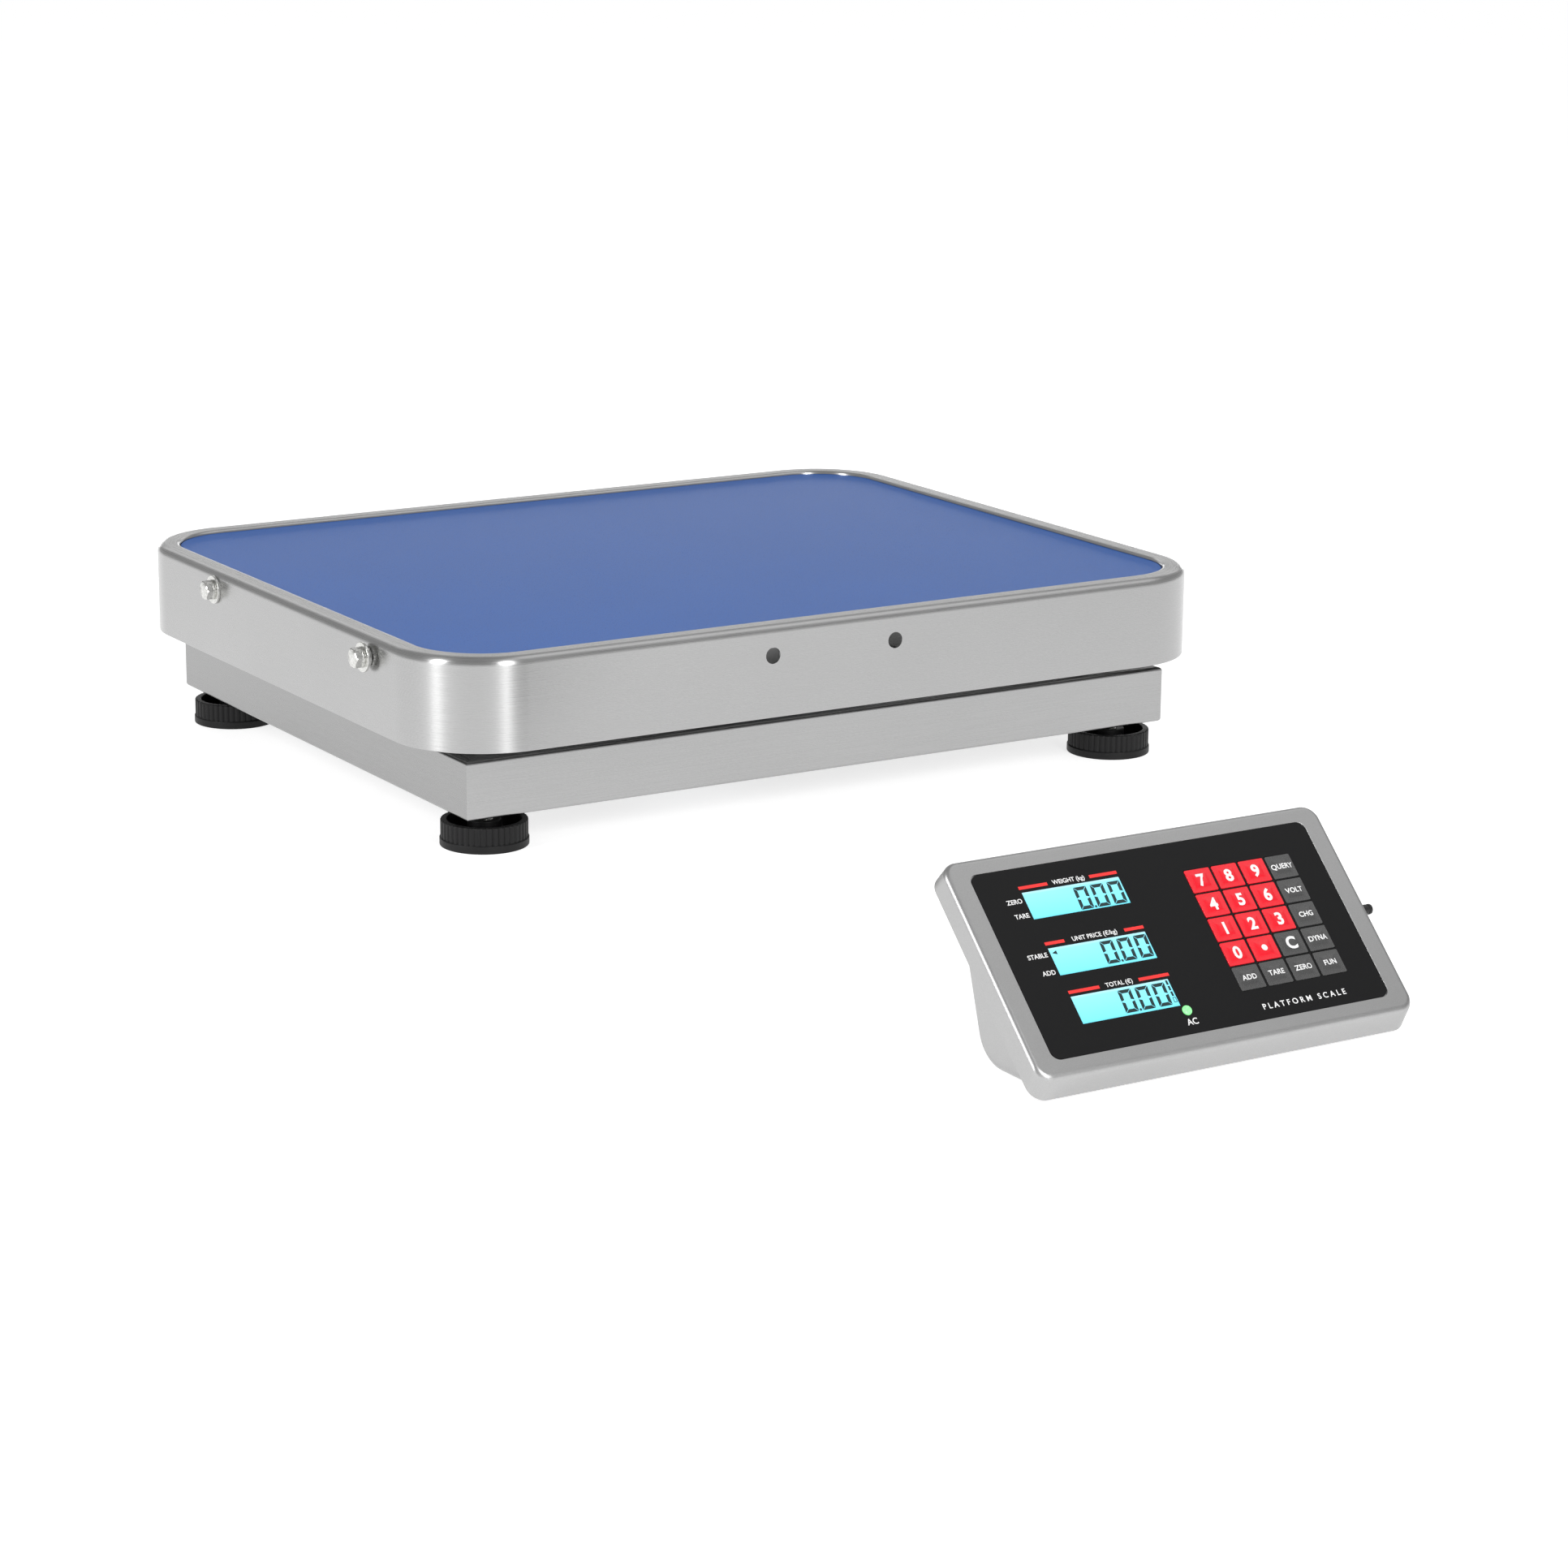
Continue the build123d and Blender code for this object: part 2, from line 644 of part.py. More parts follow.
write(bezel, "bezel")

with BuildPart() as overlay:
    with BuildSketch(face.offset(-overlay_sunk)):
        RectangleRounded(overlay_width, overlay_height, overlay_corner)
        with Locations(*display_places):
            Rectangle(display_width, display_height, mode=Mode.SUBTRACT)
        with Locations(*key_places.values()):
            RectangleRounded(key_width + 2 * key_gap, key_height + 2 * key_gap, key_corner,
                             mode=Mode.SUBTRACT)
        with Locations((led_x, led_y)):
            Circle(led_radius + thread_fit, mode=Mode.SUBTRACT)
    extrude(amount=-overlay_thickness)
write(overlay, "overlay")

# ---------------------------------------------------------------- indicator: electronics
with BuildPart() as lcd_modules:
    with BuildSketch(face.offset(-board_depth)):
        with Locations(*display_places):
            Rectangle(display_width + 2 * display_border, display_height + 2 * display_border)
    extrude(amount=board_depth - overlay_back)
write(lcd_modules, "lcd_modules")

with BuildPart() as status_led:
    with BuildSketch(face.offset(-board_depth)):
        with Locations((led_x, led_y)):
            Circle(led_radius)
    extrude(amount=board_depth + led_proud)
    fillet(status_led.faces().sort_by(Axis(face.origin, face.z_dir))[-1].edges(), led_proud)
write(status_led, "status_led")

with BuildPart() as main_board:
    with BuildSketch(face.offset(-board_depth)):
        Rectangle(board_width, board_height)
    extrude(amount=-board_thickness)
write(main_board, "main_board")

with BuildPart() as key_domes:
    with BuildSketch(face.offset(-board_depth)):
        with Locations(*key_places.values()):
            Circle(dome_radius)
    extrude(amount=dome_height)
    outward = Axis(face.origin, face.z_dir)
    tops = key_domes.faces().filter_by(outward).group_by(outward)[-1]
    fillet(tops.edges(), dome_height / 2)
write(key_domes, "key_domes")

for name, place in key_places.items():
    with BuildPart() as key:
        body_back = overlay_back + key_proud
        stem_back = board_depth - dome_height - key_travel - key_proud / 2
        with BuildSketch(face.offset(-body_back)):
            with Locations(place):
                RectangleRounded(key_width, key_height, key_corner)
        extrude(amount=body_back + key_proud)
        with BuildSketch(face.offset(key_proud)):
            with Locations(place):
                Circle(key_emboss_radius)
        extrude(amount=key_emboss)
        fillet(key.faces().sort_by(Axis(face.origin, face.z_dir))[-1].edges(), key_emboss_round)
        with BuildSketch(face.offset(-body_back)):
            with Locations(place):
                Rectangle(key_width + 2 * key_flange, key_height - 2 * key_flange)
        extrude(amount=-key_flange_thickness)
        with BuildSketch(face.offset(-body_back - key_flange_thickness)):
            with Locations(place):
                Circle(key_stem)
        extrude(amount=body_back + key_flange_thickness - stem_back)
    write(key, name)

# ---------------------------------------------------------------- indicator: rear housing
# The side profile is drawn with local X to the back and local Y up, from the middle of the face.
profile_plane = Plane(origin=face_origin, x_dir=(0, 1, 0), z_dir=(1, 0, 0))
mouth = 12.0                # the profile is drawn this far past the mouth and then cut off
housing_half_width = face_width / 2 - housing_inset


def on_face(along, depth):
    """A point of the side profile, from its distance up the face and its depth below it."""
    return along * tilt_cos + depth * tilt_sin, along * tilt_sin - depth * tilt_cos


mouth_back_y, mouth_back_z = on_face(face_height / 2 - housing_inset, flange_depth)
mouth_front_y, mouth_front_z = on_face(-housing_front_edge, flange_depth)
bottom_z = housing_floor - face_z
lean = radians(housing_lean)
bottom_back_y = mouth_back_y - (mouth_back_z - bottom_z) * tan(lean)
heel_start_y = bottom_back_y - housing_heel * tan((radians(90) - lean) / 2)
toe_run = hypot(mouth_front_y + housing_front, mouth_front_z - bottom_z)
toe_y, toe_z = (mouth_front_y + housing_front) / toe_run, (mouth_front_z - bottom_z) / toe_run


def housing_block(inset):
    """The wedge shape of the housing, set in by inset and longer than the housing at its mouth."""
    with BuildPart() as block:
        with BuildSketch(profile_plane):
            with BuildLine():
                Polyline((mouth_back_y + mouth * sin(lean), mouth_back_z + mouth * cos(lean)),
                         (bottom_back_y, bottom_z), (-housing_front, bottom_z),
                         (mouth_front_y + mouth * toe_y, mouth_front_z + mouth * toe_z), close=True)
            make_face()
            if inset:
                offset(amount=-inset, kind=Kind.INTERSECTION)
        extrude(amount=housing_half_width - inset, both=True)
        bottom_edges = block.edges().filter_by(Axis.X).group_by(Axis.Z)[0].sort_by(Axis.Y)
        fillet(bottom_edges[-1], housing_heel - inset)
        bottom_edges = block.edges().filter_by(Axis.X).group_by(Axis.Z)[0].sort_by(Axis.Y)
        fillet(bottom_edges[0], housing_toe - inset)
        outward = Axis(face.origin, face.z_dir)
        ends = block.faces().filter_by(Axis.X)
        fillet([edge for end in ends for edge in end.edges().sort_by(outward)[:-1]],
               housing_round - inset)
    return block.part


housing_outside = housing_block(0)
housing_inside = housing_block(sheet)
back_wall_y = mouth_back_y - (mouth_back_z - socket_z + face_z) * tan(lean)
back_wall = Plane(origin=(face_origin[0], face_origin[1] + back_wall_y, socket_z),
                  x_dir=(-1, 0, 0), z_dir=(0, cos(lean), -sin(lean)))
socket_places = [(-x, 0) for x in socket_xs]

with BuildPart() as rear_housing:
    add(housing_outside)
    split(bisect_by=face.offset(-flange_depth), keep=Keep.BOTTOM)
    with BuildSketch(face.offset(-flange_depth)):
        RectangleRounded(face_width - 2 * (sheet + flange_gap), face_height - 2 * (sheet + flange_gap),
                         bezel_corner - sheet - flange_gap)
    extrude(amount=-sheet)
    add(housing_inside, mode=Mode.SUBTRACT)
    with BuildSketch(face.offset(-flange_depth)):
        with flange_posts:
            Circle(flange_screw_radius + hole_play)
    extrude(amount=-sheet, mode=Mode.SUBTRACT)
    with BuildSketch(back_wall):
        with Locations(*socket_places):
            Circle(socket_radius)
    extrude(amount=-2 * sheet, mode=Mode.SUBTRACT)
write(rear_housing, "rear_housing")

with BuildPart() as rear_sockets:
    with BuildSketch(back_wall):
        with Locations(*socket_places):
            Circle(socket_flange_radius)
    extrude(amount=socket_flange)
    with BuildSketch(back_wall):
        with Locations(*socket_places):
            Circle(socket_radius)
    extrude(amount=-socket_length)
    with BuildSketch(back_wall.offset(socket_flange)):
        with Locations(*socket_places):
            Circle(socket_bore)
    extrude(amount=-socket_bore_depth, mode=Mode.SUBTRACT)
write(rear_sockets, "rear_sockets")

with BuildPart() as housing_screws:
    for radius, height in ((flange_screw_head_radius, -flange_screw_head),
                           (flange_screw_radius, sheet + flange_screw_length - screw_end_gap)):
        with BuildSketch(face.offset(-flange_depth - sheet)):
            with flange_posts:
                Circle(radius)
        extrude(amount=height)
write(housing_screws, "housing_screws")

front_foot_y = housing_foot_front - housing_front
rear_foot_y = heel_start_y - housing_foot_radius
with BuildPart() as housing_feet:
    with BuildSketch(level(indicator_x, indicator_y + (front_foot_y + rear_foot_y) / 2, 0)):
        with GridLocations(2 * (housing_half_width - housing_foot_side), rear_foot_y - front_foot_y, 2, 2):
            Circle(housing_foot_radius)
    extrude(amount=housing_floor)
write(housing_feet, "housing_feet")

with BuildPart() as battery:
    battery_y = indicator_y + heel_start_y + battery_behind_heel - battery_size / 2
    with BuildSketch(level(indicator_x, battery_y, housing_floor + sheet + battery_lift)):
        RectangleRounded(battery_length, battery_size, battery_round)
    extrude(amount=battery_size)
write(battery, "battery")

# ---------------------------------------------------------------- indicator: power button
wall_inside = face_width / 2 - sheet - switch_wall_gap
with BuildPart() as power_switch:
    with BuildSketch(face_side.offset(wall_inside)):
        with Locations((0, -button_depth)):
            Rectangle(switch_width, switch_height)
    extrude(amount=-switch_length)
    with BuildSketch(face_side.offset(wall_inside)):
        with Locations((0, -button_depth)):
            Circle(button_radius + button_fit)
    extrude(amount=-switch_length + 2 * sheet, mode=Mode.SUBTRACT)
write(power_switch, "power_switch")

with BuildPart() as power_button:
    with BuildSketch(face_side.offset(face_width / 2 + button_proud)):
        with Locations((0, -button_depth)):
            Circle(button_radius)
    extrude(amount=-button_proud - sheet - button_travel)
    fillet(power_button.faces().sort_by(Axis.X)[-1].edges(), button_round)
write(power_button, "power_button")

print("origin at", round(platform_x, 3), round(platform_y, 3), "from the middle of the platform")
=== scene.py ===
"""Pallet scale: the looks of a stainless weighing platform and its price indicator.

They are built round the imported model, in metres and in its frame. X runs along the platform's long side and
the indicator stands towards -Y.
"""
import json
from collections import namedtuple
from math import cos, pi, radians, sin

import bmesh
import bpy
import numpy as np
from bpy.props import FloatProperty, FloatVectorProperty, IntProperty, PointerProperty
from mathutils import Matrix, Vector


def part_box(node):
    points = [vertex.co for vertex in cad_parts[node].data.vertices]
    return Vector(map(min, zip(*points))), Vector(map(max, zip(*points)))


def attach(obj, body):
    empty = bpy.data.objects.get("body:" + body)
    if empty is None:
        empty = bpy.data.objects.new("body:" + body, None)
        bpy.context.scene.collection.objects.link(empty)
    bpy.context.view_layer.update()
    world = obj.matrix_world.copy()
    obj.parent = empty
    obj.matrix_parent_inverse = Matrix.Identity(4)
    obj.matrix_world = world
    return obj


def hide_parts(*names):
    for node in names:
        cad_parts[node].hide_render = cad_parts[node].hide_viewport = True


bl_info = {
    "name": "Pallet scale",
    "version": (1, 0, 0),
    "blender": (4, 5, 0),
    "location": "View3D > Sidebar > Scale",
    "description": "Builds the visible pieces and finishes of a platform scale with a price indicator",
    "category": "Object",
}

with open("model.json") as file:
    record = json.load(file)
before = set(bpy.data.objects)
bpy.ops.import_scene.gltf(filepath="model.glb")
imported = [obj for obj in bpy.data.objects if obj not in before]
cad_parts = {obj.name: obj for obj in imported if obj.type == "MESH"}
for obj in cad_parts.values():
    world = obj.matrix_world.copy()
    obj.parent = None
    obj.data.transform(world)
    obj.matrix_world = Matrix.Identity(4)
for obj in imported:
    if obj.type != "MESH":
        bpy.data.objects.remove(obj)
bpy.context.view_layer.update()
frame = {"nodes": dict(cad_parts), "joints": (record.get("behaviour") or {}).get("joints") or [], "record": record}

MM = 0.001
GUARD = 0.1 * MM            # a point this far from each arc keeps the shading of the flat beside it even
SHARP = radians(32)         # edges that turn more than this are drawn sharp
RIGHT = np.array((1.0, 0.0, 0.0))
BACK = np.array((0.0, 1.0, 0.0))
UP = np.array((0.0, 0.0, 1.0))


def box(node):
    """Lowest and highest corner of a CAD node as arrays."""
    low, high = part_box(node)
    return np.array(low), np.array(high)


def unit(vectors):
    """Vectors of length one in the same directions."""
    return vectors / np.linalg.norm(vectors, axis=-1, keepdims=True)


def middle_of(node):
    """Middle of a CAD node's box."""
    return sum(box(node)) / 2


def press_axis(joint_name):
    """Direction in which a joint slides."""
    joint = next(joint for joint in frame["joints"] if joint["name"] == joint_name)
    return unit(np.array(joint["axis"], float))


PAN_LOW, PAN_HIGH = box("pan")
MAT_LOW, MAT_HIGH = box("mat")
PAN_FOOT = (PAN_LOW + PAN_HIGH) / 2 * (1, 1, 0)      # the middle of the pan, on the floor
OVERLAY_LOW, OVERLAY_HIGH = box("overlay")
FACE_NORMAL = -press_axis("key_0_press")
FACE_UP = np.cross(FACE_NORMAL, RIGHT)
OVERLAY_SUNK = 0.1 * MM
OVERLAY_THICKNESS = 0.6 * MM
FACE = middle_of("overlay") + FACE_NORMAL * (OVERLAY_SUNK + OVERLAY_THICKNESS / 2)


def srgb(red, green, blue):
    """A colour given as 0 to 255 on a screen, as the linear light that a shader takes."""
    share = np.array((red, green, blue)) / 255
    return tuple(np.where(share < 0.04045, share / 12.92, ((share + 0.055) / 1.055) ** 2.4))


def number_setting(name, description, default, **kind):
    """A number that a user may change."""
    return FloatProperty(name=name, description=description, default=default, **kind)


def length_setting(name, description, default):
    """A length that a user may change."""
    return number_setting(name, description, default, unit="LENGTH", precision=4)


def colour_setting(name, description, default):
    """A colour that a user may change."""
    return FloatVectorProperty(name=name, description=description, default=default, subtype="COLOR",
                               size=3, min=0.0, max=1.0)


# ---------------------------------------------------------------- settings
class PanSettings(bpy.types.PropertyGroup):
    """Sizes and steel of the weighing pan."""
    sheet: length_setting("Sheet", "Thickness of the stainless sheet", 1.2 * MM)
    corner: length_setting("Corner", "Radius of the pan's four corners", 52 * MM)
    outer_roll: length_setting("Outer roll", "Radius of the rolled top edge", 4.5 * MM)
    inner_roll: length_setting("Inner roll", "Radius of the edge beside the mat", 2 * MM)
    mat_gap: length_setting("Mat gap", "Space round the mat", 0.4 * MM)
    hole: length_setting("Bracket hole", "Radius of the two holes in the front of the skirt", 4.5 * MM)
    steel: colour_setting("Steel", "Colour of the brushed steel", (0.455, 0.455, 0.455))


class MatSettings(bpy.types.PropertyGroup):
    """Colours of the mat."""
    edge: length_setting("Edge", "Radius of the mat's top edge", 0.4 * MM)
    light: colour_setting("Light grain", "Colour of the light grains", (0.006, 0.125, 0.50))
    dark: colour_setting("Dark grain", "Colour of the dark grains", (0.002, 0.070, 0.32))


class FootSettings(bpy.types.PropertyGroup):
    """Sizes of the levelling feet."""
    lip: length_setting("Lip", "How far the lip stands out past the ribs", 0.5 * MM)
    lip_height: length_setting("Lip height", "Height of the lip", 4 * MM)
    wall: length_setting("Wall", "Thickness of the ribbed wall", 3.4 * MM)
    hub: length_setting("Hub", "Radius of the hub round the screw", 9 * MM)
    groove: length_setting("Groove", "Depth of the grooves between the ribs", 0.55 * MM)
    ribs: IntProperty(name="Ribs", description="Number of ribs round a foot", default=44, min=8)
    pitch: length_setting("Pitch", "Pitch of the levelling screw's thread", 1.5 * MM)


class IndicatorSettings(bpy.types.PropertyGroup):
    """Sizes and colours of the indicator."""
    width: length_setting("Width", "Width of the bezel", 209.5 * MM)
    height: length_setting("Height", "Height of the bezel along the face", 111.6 * MM)
    depth: length_setting("Depth", "Depth of the bezel", 12.5 * MM)
    flare: length_setting("Flare", "How far the front wall leans out", 4 * MM)
    corner: length_setting("Corner", "Radius of the bezel's corners", 8 * MM)
    edge: length_setting("Edge", "Radius of the bezel's rolled edge", 2.5 * MM)
    steel: colour_setting("Steel", "Colour of the satin steel", (0.44, 0.44, 0.44))
    backlight: colour_setting("Backlight", "Colour of the lit displays", srgb(96, 190, 206))
    ink: colour_setting("Digits", "Colour of the digits on the displays", srgb(4, 44, 46))
    red: colour_setting("Red", "Colour of the red keys", srgb(226, 14, 36))
    grey: colour_setting("Grey", "Colour of the grey keys", srgb(70, 70, 70))
    white: colour_setting("White", "Colour of the printed words", srgb(238, 238, 238))


class StageSettings(bpy.types.PropertyGroup):
    """Camera, light and floor."""
    camera: FloatVectorProperty(name="Camera", description="Camera from the middle of the pan, at floor level",
                                default=(-1.173211, -2.018945, 0.576789), subtype="TRANSLATION",
                                unit="LENGTH")
    yaw: number_setting("Yaw", "Turn of the camera from +Y", -0.556, subtype="ANGLE")
    pitch: number_setting("Pitch", "Tilt of the camera below level", 0.254, subtype="ANGLE")
    roll: number_setting("Roll", "Roll of the camera", 0.009, subtype="ANGLE")
    lens: number_setting("Lens", "Focal length in millimetres on a 36 mm frame", 94.04)
    world: number_setting("Surroundings", "Brightness of the white surroundings", 0.42)
    floor: colour_setting("Floor", "Colour of the floor", (0.62, 0.62, 0.62))
    glow: number_setting("Floor glow", "Light that the floor gives of its own", 0.72)


SETTINGS = {
    "scale_pan": PanSettings,
    "scale_mat": MatSettings,
    "scale_feet": FootSettings,
    "scale_indicator": IndicatorSettings,
    "scale_stage": StageSettings,
}

# ---------------------------------------------------------------- surfaces
# A skin is its points, its faces in blocks of equal size, and each block's UV corners and finish number.
Skin = namedtuple("Skin", "points blocks maps finishes")


def lofted(rings, closed=False):
    """Quads between neighbouring closed rings, given as rows x columns x 3. The stack closes on itself, or gets
    a flat cap at each end. U is the distance round the longest ring and V the distance up the stack, and a cap
    has its X and Y."""
    rows, columns = rings.shape[:2]
    points = rings.reshape(-1, 3)
    row = np.arange(rows if closed else rows - 1)[:, None]
    column = np.arange(columns)[None, :]
    corners = ((row, column), (row, column + 1), (row + 1, column + 1), (row + 1, column))
    quads = np.stack([(r % rows) * columns + c % columns for r, c in corners], axis=-1).reshape(-1, 4)
    round_steps = np.linalg.norm(np.roll(rings, -1, axis=1) - rings, axis=2)
    around = np.append(0, np.cumsum(round_steps[round_steps.sum(axis=1).argmax()]))
    along = np.append(0, np.cumsum(np.linalg.norm(np.roll(rings, -1, axis=0) - rings, axis=2).mean(axis=1)))
    spread = [np.stack(np.broadcast_arrays(around[c], along[r]), axis=-1) for r, c in corners]
    blocks, maps = [quads], [np.stack(spread, axis=-2).reshape(-1, 4, 2)]
    if not closed:
        caps = [np.arange(columns)[::-1][None], (rows - 1) * columns + np.arange(columns)[None]]
        blocks += caps
        maps += [points[cap][..., :2] for cap in caps]
    return facing_out(Skin(points, blocks, maps, [0] * len(blocks)))


def facing_out(skin):
    """The same skin, with every face turned over if the volume that they enclose comes out negative."""
    p = skin.points
    volume = sum((p[b[:, :1]] * np.cross(p[b[:, 1:-1]], p[b[:, 2:]])).sum() for b in skin.blocks)
    if volume > 0:
        return skin
    return skin._replace(blocks=[b[:, ::-1] for b in skin.blocks], maps=[m[:, ::-1] for m in skin.maps])


def joined(skins):
    """Several skins as one."""
    starts = np.cumsum([0] + [len(skin.points) for skin in skins])
    return Skin(np.concatenate([skin.points for skin in skins]),
                [block + start for skin, start in zip(skins, starts) for block in skin.blocks],
                [m for skin in skins for m in skin.maps],
                [f for skin in skins for f in skin.finishes])


def placed(skin, origin, right=RIGHT, up=BACK):
    """The skin moved to origin, with its X along right, its Y along up and its Z along their cross product."""
    return skin._replace(points=origin + skin.points @ np.array((right, up, np.cross(right, up))))


def in_finish(skin, number):
    """The skin with every face in the finish of that number."""
    return skin._replace(finishes=[number] * len(skin.blocks))


def rounded_path(corners, radii, steps=6, closed=False):
    """A line through the corners with each one turned into an arc that meets both of its sides: the arc's
    points are the start and end radius, blended by the sines of the remaining and the past angle."""
    corners = np.asarray(corners, float)
    if closed:
        before, here, after = np.roll(corners, 1, axis=0), corners, np.roll(corners, -1, axis=0)
    else:
        before, here, after = corners[:-2], corners[1:-1], corners[2:]
    radii = np.broadcast_to(np.asarray(radii, float), len(here))[:, None]
    back, ahead = unit(before - here), unit(after - here)
    half = np.arccos(np.clip((back * ahead).sum(axis=1), -1, 1))[:, None] / 2
    centre = here + unit(back + ahead) * radii / np.sin(half)
    start, end = here + back * radii / np.tan(half), here + ahead * radii / np.tan(half)
    share = np.linspace(0, 1, steps + 1)[None, :, None]
    turn = (pi - 2 * half)[:, None]
    arcs = centre[:, None] + (np.sin((1 - share) * turn) * (start - centre)[:, None]
                              + np.sin(share * turn) * (end - centre)[:, None]) / np.sin(turn)
    arcs = np.concatenate([(start + back * GUARD)[:, None], arcs, (end + ahead * GUARD)[:, None]], axis=1)
    path = arcs.reshape(-1, corners.shape[1])
    return path if closed else np.concatenate([corners[:1], path, corners[-1:]])


def rounded_rectangle(length, width, corner, steps):
    """Points anticlockwise round a rectangle whose corners are quarter circles. The sizes may be columns of
    numbers, which give one ring for each row."""
    angle = (np.linspace(0, pi / 2, steps + 1)[None] + np.arange(4)[:, None] * pi / 2).ravel()
    side = np.repeat(((1, 1), (-1, 1), (-1, -1), (1, -1)), steps + 1, axis=0)
    x = side[:, 0] * (length / 2 - corner) + corner * np.cos(angle)
    y = side[:, 1] * (width / 2 - corner) + corner * np.sin(angle)
    return np.stack(np.broadcast_arrays(x, y), axis=-1)


def rim_rings(length, width, corner, section, steps):
    """Rounded rectangles set in by the first number of each row of the section and lifted by the second."""
    inset, lift = section[:, :1], section[:, 1:]
    flat = rounded_rectangle(length - 2 * inset, width - 2 * inset, corner - inset, steps)
    return np.dstack((flat, np.broadcast_to(lift, flat.shape[:2])))


def turned(radius, height, columns, closed=False):
    """A section carried round the Z axis. The radius is one number for each row, or for each row and column."""
    angle = 2 * pi * np.arange(columns) / columns
    radius = np.reshape(radius, (len(radius), -1))
    radius, height, angle = np.broadcast_arrays(radius, height[:, None], angle[None])
    return lofted(np.stack((radius * np.cos(angle), radius * np.sin(angle), height), axis=-1), closed)


HEXAGON_REACH = 0.565                             # corners of a hexagon, in distances across its flats
CROWN_RADIUS = 0.46                               # flat top of a screw head or a nut, in the same unit
CROWN_DROP = np.array((0.0, 0.04, 0.08, 0.12))    # rings of the cone round that top
CROWN_SPREAD = 1.75                               # how far the cone goes out for each step down
THREAD_DEPTH = 0.55                               # in pitches


def hexagon_radius(across, columns):
    """Distance from the middle of a hexagon to its edge in each direction, its corners taken off a little."""
    angle = 2 * pi * np.arange(columns) / columns
    return np.minimum(across / 2 / np.cos(angle % (pi / 3) - pi / 6), HEXAGON_REACH * across)


def hexagonal(across, height, bore=None, both_ends=False, columns=96):
    """A screw head or a nut: a hexagon cut by a shallow cone at its top, and at its foot too if both ends are
    turned. The cone starts from a circle a little inside the flats."""
    drop = CROWN_DROP * across
    cone = CROWN_RADIUS * across + drop * CROWN_SPREAD
    lift = np.concatenate((drop if both_ends else (0.0, 0.02 * across), height - drop[::-1]))
    limit = np.concatenate((cone if both_ends else (across, across), cone[::-1]))
    radius = np.minimum(hexagon_radius(across, columns)[None], limit[:, None])
    if bore is None:
        return turned(radius, lift, columns)
    inner = np.full((2, columns), bore)
    return turned(np.concatenate((radius, inner)), np.append(lift, (height, 0.0)), columns, closed=True)


def threaded(radius, pitch, length, end_taper, columns=36):
    """A screw thread: the radius falls and rises once in each pitch, and that pattern climbs one pitch in each
    turn."""
    height = np.linspace(0, length, int(length / pitch * 6) + 1)
    angle = np.arange(columns) / columns
    tooth = np.abs(2 * ((height[:, None] / pitch - angle[None]) % 1) - 1)
    depth = THREAD_DEPTH * pitch
    ends = radius - end_taper + np.minimum(height, length - height)
    return turned(np.minimum(radius - depth * (1 - tooth), ends[:, None]), height, columns)


def ring_section(bore, radius, thickness, edge, steps):
    """Section of a flat ring: a rectangle with rounded corners beside the Z axis."""
    corners = ((bore, 0), (radius, 0), (radius, thickness), (bore, thickness))
    return rounded_path(corners, edge, steps, closed=True)


def washer(bore, radius, thickness, edge):
    """A flat ring with rounded edges."""
    return turned(*ring_section(bore, radius, thickness, edge, 4).T, 72, closed=True)


def split_washer(bore, radius, thickness, slit):
    """A spring washer: a section carried nearly once round, from one side of the slit to the other. The slit
    faces -Y."""
    section = ring_section(bore, radius, thickness, 0.15 * MM, 3)
    gap = slit / 2 / bore
    angle = np.linspace(gap, 2 * pi - gap, 73)[:, None] - pi / 2
    along, lift = section[None, :, 0], section[None, :, 1]
    return lofted(np.stack(np.broadcast_arrays(along * np.cos(angle), along * np.sin(angle), lift), axis=-1))


def slabs(outlines, bottom, top):
    """Thin flat plates, one for each outline of the same number of corners."""
    return joined([lofted(np.stack([np.column_stack((outline, np.full(len(outline), level)))
                                    for level in (bottom, top)])) for outline in outlines])


LETTER_THICKNESS = 0.06 * MM


def letter_mesh(words, size, spacing, bold):
    """Flat letters as closed solids: their points and their triangles."""
    text = bpy.data.curves.new("words", "FONT")
    text.body = words
    text.size = size
    text.space_character = spacing
    text.offset = bold
    text.extrude = LETTER_THICKNESS / 2
    text.resolution_u = 4
    holder = bpy.data.objects.new("words", text)
    mesh = bpy.data.meshes.new_from_object(holder)
    shape = bmesh.new()
    shape.from_mesh(mesh)
    bmesh.ops.remove_doubles(shape, verts=shape.verts, dist=0.001 * MM)
    shape.to_mesh(mesh)
    shape.free()
    mesh.calc_loop_triangles()
    points = np.empty(len(mesh.vertices) * 3)
    mesh.vertices.foreach_get("co", points)
    triangles = np.empty(len(mesh.loop_triangles) * 3, int)
    mesh.loop_triangles.foreach_get("vertices", triangles)
    bpy.data.objects.remove(holder)
    bpy.data.curves.remove(text)
    bpy.data.meshes.remove(mesh)
    return points.reshape(-1, 3), triangles.reshape(-1, 3)


CAPITAL = np.ptp(letter_mesh("H", 1.0, 1.0, 0.0)[0][:, 1])      # height of a capital in a font of size 1


def lettering(words, height, bold=0.0, spacing=1.0, anchor=0.5):
    """Words with capitals of that height, standing on Z = 0. anchor says which part of their width is at X = 0,
    and the middle of the capitals is at Y = 0."""
    points, triangles = letter_mesh(words, height / CAPITAL, spacing, bold)
    low, high = points[:, 0].min(), points[:, 0].max()
    points = points - (low + (high - low) * anchor, height / 2, -LETTER_THICKNESS / 2)
    return facing_out(Skin(points, [triangles], [points[triangles][..., :2]], [0]))


# ---------------------------------------------------------------- pieces
def mesh_of(name, skin):
    """A new mesh with the skin's points and faces."""
    mesh = bpy.data.meshes.new(name)
    mesh.from_pydata(skin.points.tolist(), [], [face for block in skin.blocks for face in block.tolist()])
    return mesh


